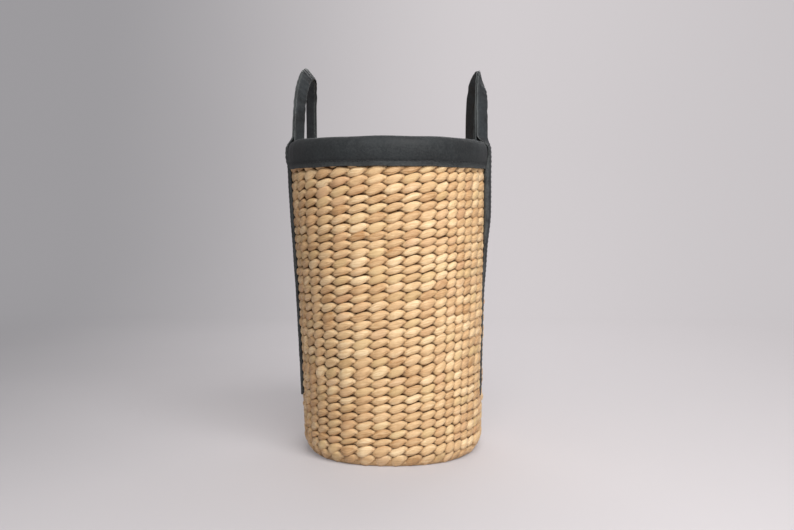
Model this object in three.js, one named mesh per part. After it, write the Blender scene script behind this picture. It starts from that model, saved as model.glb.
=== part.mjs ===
// Woven tote bag: a twined water-hyacinth basket, oval in plan, with a leather-bound rim and strap handles.
// Millimetres, +Z up. The origin is on the floor under the middle of the base. The oval's long axis runs
// along Y, with the front end at -Y. The handles stand on the two long sides, left at -X and right at +X.
import * as THREE from "three";

// Woven body
const BAG_HEIGHT = 340; // floor to the top of the bound rim
const RIM_HALF_LENGTH = 146; // outside of the weave at the rim, along Y
const RIM_HALF_WIDTH = 110; // outside of the weave at the rim, along X
const BASE_HALF_LENGTH = 128; // outside of the weave at the base, along Y
const BASE_HALF_WIDTH = 99; // outside of the weave at the base, along X
const PLAN_FULLNESS = 2.25; // 2 is a plain ellipse; more fills out its four shoulders
const BASE_CORNER_RADIUS = 12; // the turn from wall to base, on the outside
const WEFT_THICKNESS = 3.4; // weft strands on each face of the stakes
const STAKE_WIDTH = 8;
const STAKE_THICKNESS = 2.4;
const SIDE_STAKES_PER_QUARTER = 7; // stakes that cross the base from side to side
const END_STAKES_PER_QUARTER = 4; // stakes that cross the base from end to end

// Rim binding
const BINDING_DEPTH = 31; // rim top down to the binding's lower edge
const BINDING_LEATHER = 2.2;
const BINDING_SWELL = 2.4; // extra thickness of the folded leather at its fullest
const BINDING_CROWN = 12; // height of the rounded top above the fullest line
const RIM_COVER = 6; // rim top down to the top of the weave
const SEAM_RISE = 6; // the binding's lower edge up to its seam
const THREAD = 0.9;

// Handles
const STRAP_WIDTH = 22; // where a strap is sewn down
const GRIP_WIDTH = 17;
const STRAP_LEATHER = 2.6;
const LINING_LEATHER = 2; // second layer sewn under the grip
const STRAP_END_HEIGHT = 60; // floor to the lower end of each sewn strap
const STRAP_END_CORNER = 6; // cut corners of a strap's lower end
const STRAP_EASE = 70; // height over which a strap steps from the binding onto the weave
const HANDLE_SPACING = 84; // between the middles of one handle's feet, on the weave at the rim
const HANDLE_RISE = 84; // rim top to the top edge of the grip
const STRAP_TOP_DROP = 8; // rim top down to where a strap leaves the binding
const FLEX_HEIGHT = 30; // stretch in which a strap twists and bends before it becomes the grip
const HANDLE_LEAN = 15; // how far a handle leans in over the rim
const GRIP_TILT = THREE.MathUtils.degToRad(38); // the grip's inner edge turns in over the mouth

// Clearance between pieces that touch
const CLEARANCE = 0.4;

// Fineness of the facets
const WALL_STEPS = 6;
const CORNER_STEPS = 3;
const CROWN_STEPS = 8;
const EASE_STEPS = 4;
const FLEX_STEPS = 8;
const GRIP_STEPS = 40;

const stakesPerQuarter = SIDE_STAKES_PER_QUARTER + END_STAKES_PER_QUARTER;
const stakeCount = 4 * stakesPerQuarter;
const stakeInset = WEFT_THICKNESS + CLEARANCE + STAKE_THICKNESS / 2;
const innerWeftInset = WEFT_THICKNESS + STAKE_THICKNESS + 2 * CLEARANCE;
const wallThickness = innerWeftInset + WEFT_THICKNESS;
const stakeLayer = STAKE_THICKNESS + CLEARANCE; // rise from one layer of crossing stakes to the next
const weaveTop = BAG_HEIGHT - RIM_COVER;
const bindingLow = BAG_HEIGHT - BINDING_DEPTH;
const bindingFullest = BAG_HEIGHT - BINDING_CROWN;
const strapTop = BAG_HEIGHT - STRAP_TOP_DROP;
const archHeight = HANDLE_RISE + STRAP_TOP_DROP - (GRIP_WIDTH / 2) * Math.cos(GRIP_TILT);
const up = new THREE.Vector3(0, 0, 1);
const outwards = new THREE.Vector3(1, 0, 0);

const hyacinth = new THREE.MeshStandardMaterial({ color: 0xcda878, roughness: 0.75, metalness: 0 });
const stem = new THREE.MeshStandardMaterial({ color: 0x9c7a4c, roughness: 0.85, metalness: 0 });
const leather = new THREE.MeshStandardMaterial({ color: 0x35393b, roughness: 0.6, metalness: 0 });
const waxedThread = new THREE.MeshStandardMaterial({ color: 0x1c1e20, roughness: 0.7, metalness: 0 });

// Evenly spaced numbers, both ends included.
function evenly(from, to, steps) {
  return Array.from({ length: steps + 1 }, (_, k) => THREE.MathUtils.lerp(from, to, k / steps));
}

// Half-axes of the outside of the weave at a height: nearly upright at the base and the rim, flared between.
function halfAxes(z) {
  const flare = THREE.MathUtils.smoothstep(z, 0, BAG_HEIGHT);
  return {
    x: THREE.MathUtils.lerp(BASE_HALF_WIDTH, RIM_HALF_WIDTH, flare),
    y: THREE.MathUtils.lerp(BASE_HALF_LENGTH, RIM_HALF_LENGTH, flare),
  };
}

// A power of a number's size that keeps its sign.
function signedPower(value, power) {
  return Math.sign(value) * Math.abs(value) ** power;
}

// Level outward normal of the oval wall.
function wallNormal(angle, z) {
  const half = halfAxes(z);
  const power = 2 - 2 / PLAN_FULLNESS;
  const x = signedPower(Math.cos(angle), power) / half.x;
  const y = signedPower(Math.sin(angle), power) / half.y;
  return new THREE.Vector3(x, y, 0).normalize();
}

// A point of the oval wall, set in from the outside of the weave along the wall's normal.
function wallPoint(angle, inset, z) {
  const half = halfAxes(z);
  const power = 2 / PLAN_FULLNESS;
  const x = half.x * signedPower(Math.cos(angle), power);
  const y = half.y * signedPower(Math.sin(angle), power);
  const point = new THREE.Vector3(x, y, z);
  return point.addScaledVector(wallNormal(angle, z), -inset);
}

// Angles that divide the rim's oval into facets of equal length, one facet to each stake.
const rimOval = new THREE.Curve();
rimOval.getPoint = (t) => wallPoint(2 * Math.PI * t, 0, BAG_HEIGHT);
rimOval.arcLengthDivisions = 40 * stakeCount;
const facetAngles = Array.from(
  { length: stakeCount },
  (_, i) => 2 * Math.PI * rimOval.getUtoTmapping(i / stakeCount),
);

// Heights shared by every layer of the wall, from above the corner to the top of the weave.
const wallFoot = BASE_CORNER_RADIUS + stakeLayer;
const wallLevels = evenly(wallFoot, weaveTop, WALL_STEPS);

// The profile of one face of the wall, from base to rim: its inset, height and the lean of its outward side.
function wallProfile(inset, floor) {
  const radius = BASE_CORNER_RADIUS - inset;
  const corner = Array.from({ length: CORNER_STEPS + 1 }, (_, k) => {
    const lean = (Math.PI / 2) * (1 - k / CORNER_STEPS);
    return {
      inset: BASE_CORNER_RADIUS - radius * Math.cos(lean),
      z: floor + radius * (1 - Math.sin(lean)),
      lean,
    };
  });
  const cornerTop = floor + radius;
  const wall = wallLevels.filter((z) => z > cornerTop + CLEARANCE).map((z) => ({ inset, z, lean: 0 }));
  return [...corner, ...wall];
}

// Indexed triangles as a geometry whose faces point out.
function solid(points, faces) {
  const volume = faces.reduce((sum, [a, b, c]) => {
    return sum + points[a].dot(new THREE.Vector3().crossVectors(points[b], points[c]));
  }, 0);
  const index = faces.flatMap(([a, b, c]) => (volume > 0 ? [a, b, c] : [a, c, b]));
  const geometry = new THREE.BufferGeometry().setFromPoints(points).setIndex(index);
  geometry.computeVertexNormals();
  return geometry;
}

// Triangles between rings of equal point counts, each ring joined to the one after it.
function ringFaces(rings, closed) {
  const count = rings[0].length;
  const spans = closed ? rings.length : rings.length - 1;
  const faces = [];
  for (let r = 0; r < spans; r++) {
    const here = r * count;
    const there = ((r + 1) % rings.length) * count;
    for (let k = 0; k < count; k++) {
      const next = (k + 1) % count;
      faces.push([here + k, here + next, there + next], [here + k, there + next, there + k]);
    }
  }
  return faces;
}

// A solid through a row of rings, closed at each end by a fan.
function loft(rings) {
  const count = rings[0].length;
  const points = rings.flat();
  const faces = ringFaces(rings, false);
  const lastRing = (rings.length - 1) * count;
  for (const [ring, first, turned] of [
    [rings[0], 0, true],
    [rings.at(-1), lastRing, false],
  ]) {
    const hub = points.length;
    points.push(ring.reduce((sum, p) => sum.add(p), new THREE.Vector3()).divideScalar(count));
    for (let k = 0; k < count; k++) {
      const next = (k + 1) % count;
      faces.push(turned ? [hub, first + next, first + k] : [hub, first + k, first + next]);
    }
  }
  return solid(points, faces);
}

// A solid of one section carried round the oval, from (inset, height) pairs.
function carryRound(section) {
  const rings = facetAngles.map((angle) => section.map(([inset, z]) => wallPoint(angle, inset, z)));
  return solid(rings.flat(), ringFaces(rings, true));
}

// A flat strip's four corners about its middle, wide along one direction and thick along the other.
function stripRing(middle, along, through, width, thickness) {
  return [
    [1, 1],
    [-1, 1],
    [-1, -1],
    [1, -1],
  ].map(([i, j]) =>
    middle
      .clone()
      .addScaledVector(along, (i * width) / 2)
      .addScaledVector(through, (j * thickness) / 2),
  );
}

function piece(name, geometry, material) {
  const mesh = new THREE.Mesh(geometry, material);
  mesh.name = name;
  return mesh;
}

function twoDigits(number) {
  return String(number).padStart(2, "0");
}

// One face of the weave as a cup: the weft strands of wall and base on one side of the stakes.
function weftCup(outerInset, outerFloor) {
  const outside = wallProfile(outerInset, outerFloor);
  const inside = wallProfile(outerInset + WEFT_THICKNESS, outerFloor + WEFT_THICKNESS);
  const profile = [...outside, ...inside.reverse()];
  return loft(profile.map(({ inset, z }) => facetAngles.map((angle) => wallPoint(angle, inset, z))));
}

// Half of a stake, from the base up one facet of the wall to the rim.
function stakeRings(facet, floor, turn) {
  const from = facetAngles[facet];
  const to = facetAngles[(facet + 1) % stakeCount];
  return wallProfile(stakeInset, floor).map(({ inset, z, lean }) => {
    const start = wallPoint(from, inset, z);
    const end = wallPoint(to, inset, z);
    const along = end.clone().sub(start).setZ(0).normalize();
    const normal = new THREE.Vector3(along.y, -along.x, 0);
    const through = normal.multiplyScalar(Math.cos(lean)).addScaledVector(up, -Math.sin(lean));
    const middle = start.lerp(end, 0.5);
    return stripRing(middle, along.multiplyScalar(turn), through, STAKE_WIDTH, STAKE_THICKNESS);
  });
}

// A whole stake: one stem that comes down a facet, crosses the base and goes up the facet opposite.
function stake(facet, opposite, layer) {
  const floor = stakeInset + layer * stakeLayer;
  return loft([...stakeRings(facet, floor, 1).reverse(), ...stakeRings(opposite, floor, -1)]);
}

// How far the outside of the binding stands off the weave at a height.
function bindingFace(z) {
  const fullness = THREE.MathUtils.clamp((z - bindingLow) / (bindingFullest - bindingLow), 0, 1);
  return CLEARANCE + BINDING_LEATHER + fullness * BINDING_SWELL;
}

const seamHeight = bindingLow + SEAM_RISE;
const grooveHalf = THREAD / 2 + CLEARANCE;
const grooveDepth = THREAD + CLEARANCE;

// Groove that the seam draws into one face of the binding; direction is -1 outside and 1 inside.
function seamGroove(face, direction) {
  const low = face + direction * bindingFace(seamHeight - grooveHalf);
  const high = face + direction * bindingFace(seamHeight + grooveHalf);
  const groove = [
    [low, seamHeight - grooveHalf],
    [low - direction * grooveDepth, seamHeight - grooveHalf],
    [high - direction * grooveDepth, seamHeight + grooveHalf],
    [high, seamHeight + grooveHalf],
  ];
  return direction < 0 ? groove : groove.reverse();
}

// The binding's section: one strip of leather folded over the top of the wall, fullest near its rounded top.
function bindingSection() {
  const middle = wallThickness / 2;
  const halfWidth = middle + bindingFace(bindingFullest);
  const crown = Array.from({ length: CROWN_STEPS + 1 }, (_, k) => {
    const turn = (Math.PI * k) / CROWN_STEPS;
    return [middle - halfWidth * Math.cos(turn), bindingFullest + BINDING_CROWN * Math.sin(turn)];
  });
  return [
    [-bindingFace(bindingLow), bindingLow],
    ...seamGroove(0, -1),
    ...crown,
    ...seamGroove(wallThickness, 1),
    [wallThickness + bindingFace(bindingLow), bindingLow],
    [wallThickness + CLEARANCE, bindingLow],
    [wallThickness + CLEARANCE, weaveTop + CLEARANCE],
    [-CLEARANCE, weaveTop + CLEARANCE],
    [-CLEARANCE, bindingLow],
  ];
}

// Thread that lies in a seam groove, all the way round.
function seamThread(face, direction) {
  const middle = face + direction * (bindingFace(seamHeight) - grooveDepth + CLEARANCE + THREAD / 2);
  const radius = THREAD / 2;
  return carryRound([
    [middle - radius, seamHeight],
    [middle, seamHeight + radius],
    [middle + radius, seamHeight],
    [middle, seamHeight - radius],
  ]);
}

// How far the inner side of a sewn strap stands off the weave: over the binding, then down onto the weave.
function strapStandoff(z) {
  const step = THREE.MathUtils.smoothstep(z, bindingLow - STRAP_EASE, bindingLow);
  return CLEARANCE + step * bindingFace(z);
}

// One foot of a handle: where its strap is sewn, and how the strap lies there.
// side is -1 for left and 1 for right, and end is -1 for front and 1 for back.
function handleFoot(side, end) {
  const reach = Math.asin((HANDLE_SPACING / 2 / RIM_HALF_LENGTH) ** (PLAN_FULLNESS / 2));
  const angle = side > 0 ? end * reach : Math.PI - end * reach;
  const middleAt = (z) => wallPoint(angle, -strapStandoff(z) - STRAP_LEATHER / 2, z);
  const normal = wallNormal(angle, BAG_HEIGHT);
  return { angle, middleAt, normal, along: new THREE.Vector3(-normal.y, normal.x, 0) };
}

// The sewn part of a strap, from its cut end near the base up over the binding.
function sewnStrap(side, end) {
  const { middleAt, normal, along } = handleFoot(side, end);
  const fullWidthFrom = STRAP_END_HEIGHT + STRAP_END_CORNER;
  const easeFrom = bindingLow - STRAP_EASE;
  const onTheWeave = wallLevels.filter((z) => z > fullWidthFrom && z < easeFrom);
  const easing = evenly(easeFrom, bindingLow, EASE_STEPS);
  const fullWidth = [fullWidthFrom, ...onTheWeave, ...easing, bindingFullest, strapTop];
  const cuts = [
    [STRAP_END_HEIGHT, STRAP_WIDTH - 2 * STRAP_END_CORNER],
    ...fullWidth.map((z) => [z, STRAP_WIDTH]),
  ];
  return loft(cuts.map(([z, width]) => stripRing(middleAt(z), along, normal, width, STRAP_LEATHER)));
}

// Rings of a handle above its straps, a half oval standing on its two feet. At the feet the strap lies as the
// wall does; through the flex it narrows, leans in over the rim and twists, so that the grip's outer edge
// stands out and its inner edge turns in. sunk is how far a layer lies under the strap.
function handleRings(side, turns, thickness, sunk) {
  const foot = handleFoot(side, 1);
  const top = foot.middleAt(strapTop);
  const wallTurn = Math.atan2(Math.abs(foot.normal.y), Math.abs(foot.normal.x));
  const sideways = outwards.clone().multiplyScalar(side);
  return turns.map((turn) => {
    const height = archHeight * Math.sin(turn);
    const eased = THREE.MathUtils.smoothstep(height, 0, FLEX_HEIGHT);
    const middle = new THREE.Vector3(top.x, -top.y * Math.cos(turn), strapTop + height);
    middle.addScaledVector(sideways, -HANDLE_LEAN * eased);
    const away = new THREE.Vector3(0, -archHeight * Math.cos(turn), top.y * Math.sin(turn)).normalize();
    const twist = THREE.MathUtils.lerp(wallTurn, -GRIP_TILT, eased);
    const through = sideways.clone().multiplyScalar(Math.cos(twist)).addScaledVector(away, Math.sin(twist));
    const along = away.multiplyScalar(Math.cos(twist)).addScaledVector(sideways, -Math.sin(twist));
    const width = THREE.MathUtils.lerp(STRAP_WIDTH, GRIP_WIDTH, eased);
    return stripRing(middle.addScaledVector(through, -sunk), along, through, width, thickness);
  });
}

// Turn along a handle's half oval at a height above the straps, on its front half.
function turnAt(height) {
  return Math.asin(height / archHeight);
}

// The stretch of strap above the binding that bends when the handle is folded over.
function flexStretch(side, end) {
  const turns = evenly(turnAt(CLEARANCE), turnAt(FLEX_HEIGHT), FLEX_STEPS);
  const onThatSide = end < 0 ? turns : turns.map((turn) => Math.PI - turn);
  return loft(handleRings(side, onThatSide, STRAP_LEATHER, 0));
}

// One layer of the grip, from flex to flex over the top of the handle.
function gripLayer(side, thickness, sunk) {
  const start = turnAt(FLEX_HEIGHT + CLEARANCE);
  return loft(handleRings(side, evenly(start, Math.PI - start, GRIP_STEPS), thickness, sunk));
}

const bag = new THREE.Group();

const weave = new THREE.Group();
weave.add(piece("weave_outer", weftCup(0, 0), hyacinth));
const innerWeftFloor = WEFT_THICKNESS + 2 * stakeLayer + CLEARANCE;
weave.add(piece("weave_inner", weftCup(innerWeftInset, innerWeftFloor), hyacinth));
bag.add(weave);

const stakes = new THREE.Group();
for (let i = 0; i < 2 * SIDE_STAKES_PER_QUARTER; i++) {
  const facet = (i - SIDE_STAKES_PER_QUARTER + stakeCount) % stakeCount;
  const opposite = (2 * stakesPerQuarter - 1 - facet + stakeCount) % stakeCount;
  stakes.add(piece("side_stake_" + twoDigits(i + 1), stake(facet, opposite, 0), stem));
}
for (let i = 0; i < 2 * END_STAKES_PER_QUARTER; i++) {
  const facet = SIDE_STAKES_PER_QUARTER + i;
  const opposite = stakeCount - 1 - facet;
  stakes.add(piece("end_stake_" + twoDigits(i + 1), stake(facet, opposite, 1), stem));
}
bag.add(stakes);

const rim = new THREE.Group();
rim.add(piece("rim_binding", carryRound(bindingSection()), leather));
rim.add(piece("rim_seam_thread_outside", seamThread(0, -1), waxedThread));
rim.add(piece("rim_seam_thread_inside", seamThread(wallThickness, 1), waxedThread));
bag.add(rim);

for (const [sideName, side] of [
  ["left", -1],
  ["right", 1],
]) {
  const handle = new THREE.Group();
  for (const [endName, end] of [
    ["front", -1],
    ["back", 1],
  ]) {
    handle.add(piece(`${sideName}_${endName}_sewn_strap`, sewnStrap(side, end), leather));
    handle.add(piece(`${sideName}_${endName}_strap_flex`, flexStretch(side, end), leather));
  }
  handle.add(piece(`${sideName}_handle_strap`, gripLayer(side, STRAP_LEATHER, 0), leather));
  const liningDepth = STRAP_LEATHER / 2 + CLEARANCE + LINING_LEATHER / 2;
  handle.add(piece(`${sideName}_handle_lining`, gripLayer(side, LINING_LEATHER, liningDepth), leather));
  bag.add(handle);
}

export default bag;
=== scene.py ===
"""Looks of a twined water-hyacinth tote bag with a leather-bound rim and leather strap handles.

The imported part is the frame. Each surface is worked out here in millimetres, in the part's own axes, as a
grid or as a section carried along a path, and goes into its mesh in metres.
"""

import logging
import math
from dataclasses import dataclass, field
from enum import Enum
from typing import Any, Callable

import bpy
import numpy as np
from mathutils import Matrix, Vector


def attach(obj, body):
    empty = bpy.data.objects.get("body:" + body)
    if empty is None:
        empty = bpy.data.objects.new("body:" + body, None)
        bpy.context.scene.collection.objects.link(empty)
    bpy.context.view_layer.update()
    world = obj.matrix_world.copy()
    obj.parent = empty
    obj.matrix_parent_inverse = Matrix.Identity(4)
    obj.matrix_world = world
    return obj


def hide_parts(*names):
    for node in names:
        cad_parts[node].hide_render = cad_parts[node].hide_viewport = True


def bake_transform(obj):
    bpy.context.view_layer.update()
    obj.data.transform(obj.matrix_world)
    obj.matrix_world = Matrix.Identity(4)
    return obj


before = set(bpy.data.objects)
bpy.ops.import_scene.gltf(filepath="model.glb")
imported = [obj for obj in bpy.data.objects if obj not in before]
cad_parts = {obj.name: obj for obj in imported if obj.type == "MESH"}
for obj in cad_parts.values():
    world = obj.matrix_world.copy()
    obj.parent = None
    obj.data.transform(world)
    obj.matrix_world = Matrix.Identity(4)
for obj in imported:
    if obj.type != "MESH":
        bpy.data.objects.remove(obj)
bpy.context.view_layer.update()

log = logging.getLogger("tote")

Array = np.ndarray
Layers = dict[str, Array]
Colour = tuple[float, ...]
Span = tuple[float, float]
Triple = tuple[float, float, float]
RowPlace = Callable[[Array], tuple[Array, Array, Array]]

MM = 0.001
TURN = 2 * math.pi
UP = np.array([0.0, 0.0, 1.0])
NOISE_MIDDLE = 0.5


class Side(Enum):
    """A long side of the bag, with its direction along X."""

    LEFT = -1
    RIGHT = 1

    @property
    def word(self) -> str:
        """The side's name as the part's nodes use it."""
        return self.name.lower()


class Face(Enum):
    """A face of the wall: -1 looks away from the opening, 1 looks into it."""

    OUTSIDE = -1
    INSIDE = 1


def smoothstep(value: Array | float, low: float, high: float) -> Array:
    """Cubic ease from 0 at low to 1 at high.

    Args:
        value: Where the ease is read.
        low: Value that gives 0.
        high: Value that gives 1.

    Returns:
        Eased numbers of the value's shape.
    """
    t = np.clip((np.asarray(value, float) - low) / (high - low), 0, 1)
    return t * t * (3 - 2 * t)


def signed_power(value: Array, power: Array | float) -> Array:
    """A power of each number's size that keeps its sign."""
    return np.sign(value) * np.abs(value) ** power


def unit(vectors: Array) -> Array:
    """Vectors scaled to length 1 along their last axis."""
    return vectors / np.maximum(np.linalg.norm(vectors, axis=-1, keepdims=True), 1e-12)


def distance_along(points: Array) -> Array:
    """Length of a line of points up to each of them, from 0 at the first."""
    return np.concatenate([[0], np.cumsum(np.linalg.norm(np.diff(points, axis=0), axis=1))])


def joined(values: Array, axes: int) -> Array:
    """An array with its first few axes run together into one."""
    return values.reshape((-1,) + values.shape[axes:])


def ripple(turns: Array, waves: tuple[int, ...], seed: int) -> Array:
    """Sum of sines that closes on itself each turn, about -1 to 1.

    Args:
        turns: Place along the closed run, 1 being once round.
        waves: Whole numbers of waves in a turn.
        seed: Chooses the phases and sizes.

    Returns:
        Numbers of the shape of turns.
    """
    rng = np.random.default_rng(seed)
    phase = rng.uniform(0, TURN, len(waves))
    size = rng.uniform(0.5, 1, len(waves))
    places = np.asarray(turns, float)[..., None]
    return (size * np.sin(TURN * np.array(waves) * places + phase)).sum(-1) / size.sum()


class MeshMaker:
    """Puts arrays of points and faces into Blender meshes."""

    @staticmethod
    def _outward(points: Array, faces: Array) -> Array:
        """Faces turned so that the volume that they enclose is positive.

        The volume is the sum of the triple products of each face's corners, a four-sided face counting as
        two triangles.

        Args:
            points: Points, one row each.
            faces: Point numbers, three or four a row.

        Returns:
            The same faces, or all of them turned round.
        """
        a, b, c = (points[faces[:, k]] for k in (0, 1, 2))
        volume = np.einsum("ij,ij->", a, np.cross(b, c))
        if faces.shape[1] == 4:
            volume += np.einsum("ij,ij->", a, np.cross(c, points[faces[:, 3]]))
        return faces if volume > 0 else faces[:, ::-1]

    @classmethod
    def put(
        cls,
        name: str,
        points: Array,
        quads: Array,
        tris: Array | None = None,
        layers: Layers | None = None,
        closed: bool = True,
    ) -> bpy.types.Object:
        """A smooth mesh object at the origin.

        Args:
            name: The object's name.
            points: Points in millimetres, one row each.
            quads: Point numbers of the four-sided faces.
            tris: Point numbers of the three-sided faces, if there are any.
            layers: Point attributes by name, of one number or three numbers a point.
            closed: Whether the faces enclose a volume, and so can be turned outwards.

        Returns:
            The new object.
        """
        if closed:
            turned = cls._outward(points, quads)
            if tris is not None and turned is not quads:
                tris = tris[:, ::-1]
            quads = turned
        mesh = bpy.data.meshes.new(name)
        corners = quads.ravel()
        totals = np.full(len(quads), 4)
        if tris is not None:
            corners = np.concatenate([corners, tris.ravel()])
            totals = np.concatenate([totals, np.full(len(tris), 3)])
        mesh.vertices.add(len(points))
        mesh.vertices.foreach_set("co", (points * MM).astype(np.float32).ravel())
        mesh.loops.add(len(corners))
        mesh.loops.foreach_set("vertex_index", corners.astype(np.int32))
        mesh.polygons.add(len(totals))
        starts = np.concatenate([[0], np.cumsum(totals)[:-1]])
        mesh.polygons.foreach_set("loop_start", starts.astype(np.int32))
        mesh.polygons.foreach_set("use_smooth", np.ones(len(totals), bool))
        for key, values in (layers or {}).items():
            kind, slot = ("FLOAT", "value") if values.ndim == 1 else ("FLOAT_VECTOR", "vector")
            data = mesh.attributes.new(key, kind, "POINT").data
            data.foreach_set(slot, values.astype(np.float32).ravel())
        mesh.update(calc_edges=True)
        mesh.validate()
        made = bpy.data.objects.new(name, mesh)
        bpy.context.scene.collection.objects.link(made)
        return made

    @staticmethod
    def tube_faces(count: int, rings: int, sides: int, closed: bool) -> Array:
        """Quads of a number of tubes, ring to ring.

        Args:
            count: How many tubes there are.
            rings: Rings in each tube.
            sides: Points in each ring.
            closed: Whether the last ring joins the first.

        Returns:
            Point numbers, four a row.
        """
        steps = np.arange(rings if closed else rings - 1)
        tube, ring, side = np.meshgrid(np.arange(count), steps, np.arange(sides), indexing="ij")
        here = (tube * rings + ring) * sides
        there = (tube * rings + (ring + 1) % rings) * sides
        after = (side + 1) % sides
        return np.stack([here + side, here + after, there + after, there + side], -1).reshape(-1, 4)

    @classmethod
    def loops(cls, name: str, *sets: tuple[Array, Layers]) -> bpy.types.Object:
        """Tubes that close on themselves, in one or more sets that may differ in rings and sides.

        Args:
            name: The object's name.
            sets: For each set, rings of shape (tubes, rings, sides, 3) and point attributes by name.

        Returns:
            The new object.
        """
        quads, start = [], 0
        for rings, _ in sets:
            quads.append(cls.tube_faces(*rings.shape[:3], True) + start)
            start += math.prod(rings.shape[:3])
        points = np.concatenate([joined(rings, 3) for rings, _ in sets])
        keys = sets[0][1]
        layers = {key: np.concatenate([joined(layer[key], 3) for _, layer in sets]) for key in keys}
        return cls.put(name, points, np.concatenate(quads), None, layers)

    @classmethod
    def rods(cls, name: str, rings: Array, layers: Layers) -> bpy.types.Object:
        """Tubes capped at both ends.

        Args:
            name: The object's name.
            rings: Points of shape (tubes, rings, sides, 3).
            layers: Point attributes by name, of the rings' shape.

        Returns:
            The new object, with a fan of triangles over each end.
        """
        count, along, sides = rings.shape[:3]
        body = count * along * sides
        tube, side = np.meshgrid(np.arange(count), np.arange(sides), indexing="ij")
        after = (side + 1) % sides
        first = tube * along * sides
        last = first + (along - 1) * sides
        start = np.stack([body + 2 * tube, first + after, first + side], -1)
        end = np.stack([body + 2 * tube + 1, last + side, last + after], -1)
        tris = np.concatenate([joined(start, 2), joined(end, 2)])

        def with_tips(values: Array) -> Array:
            """Values of all rings in one row, and then the means of the end rings."""
            return np.concatenate([joined(values, 3), joined(values[:, [0, -1]].mean(2), 2)])

        flat = {key: with_tips(values) for key, values in layers.items()}
        return cls.put(name, with_tips(rings), cls.tube_faces(count, along, sides, False), tris, flat)


class Number:
    """A shader value that does arithmetic: each operator adds a Math node."""

    def __init__(self, graph: "Graph", socket: bpy.types.NodeSocket) -> None:
        """Wraps a socket of a graph."""
        self.graph = graph
        self.socket = socket

    def _math(self, operation: str, *values: Any) -> "Number":
        """The result of a Math node."""
        made = self.graph.node("ShaderNodeMath", {"operation": operation}, dict(enumerate(values)))
        return Number(self.graph, made.outputs[0])

    def __add__(self, other: Any) -> "Number":
        """Sum."""
        return self._math("ADD", self, other)

    __radd__ = __add__

    def __sub__(self, other: Any) -> "Number":
        """Difference."""
        return self._math("SUBTRACT", self, other)

    def __rsub__(self, other: Any) -> "Number":
        """Difference from a number."""
        return self._math("SUBTRACT", other, self)

    def __mul__(self, other: Any) -> "Number":
        """Product."""
        return self._math("MULTIPLY", self, other)

    __rmul__ = __mul__

    def __pow__(self, other: Any) -> "Number":
        """Power."""
        return self._math("POWER", self, other)

    def ease(self, low: float, high: float) -> "Number":
        """Smooth step of the value, by a Map Range node.

        Args:
            low: Value that gives 0.
            high: Value that gives 1.

        Returns:
            The eased value.
        """
        settings = {"interpolation_type": "SMOOTHSTEP"}
        made = self.graph.node("ShaderNodeMapRange", settings, {"Value": self, 1: low, 2: high})
        return Number(self.graph, made.outputs[0])


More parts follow.
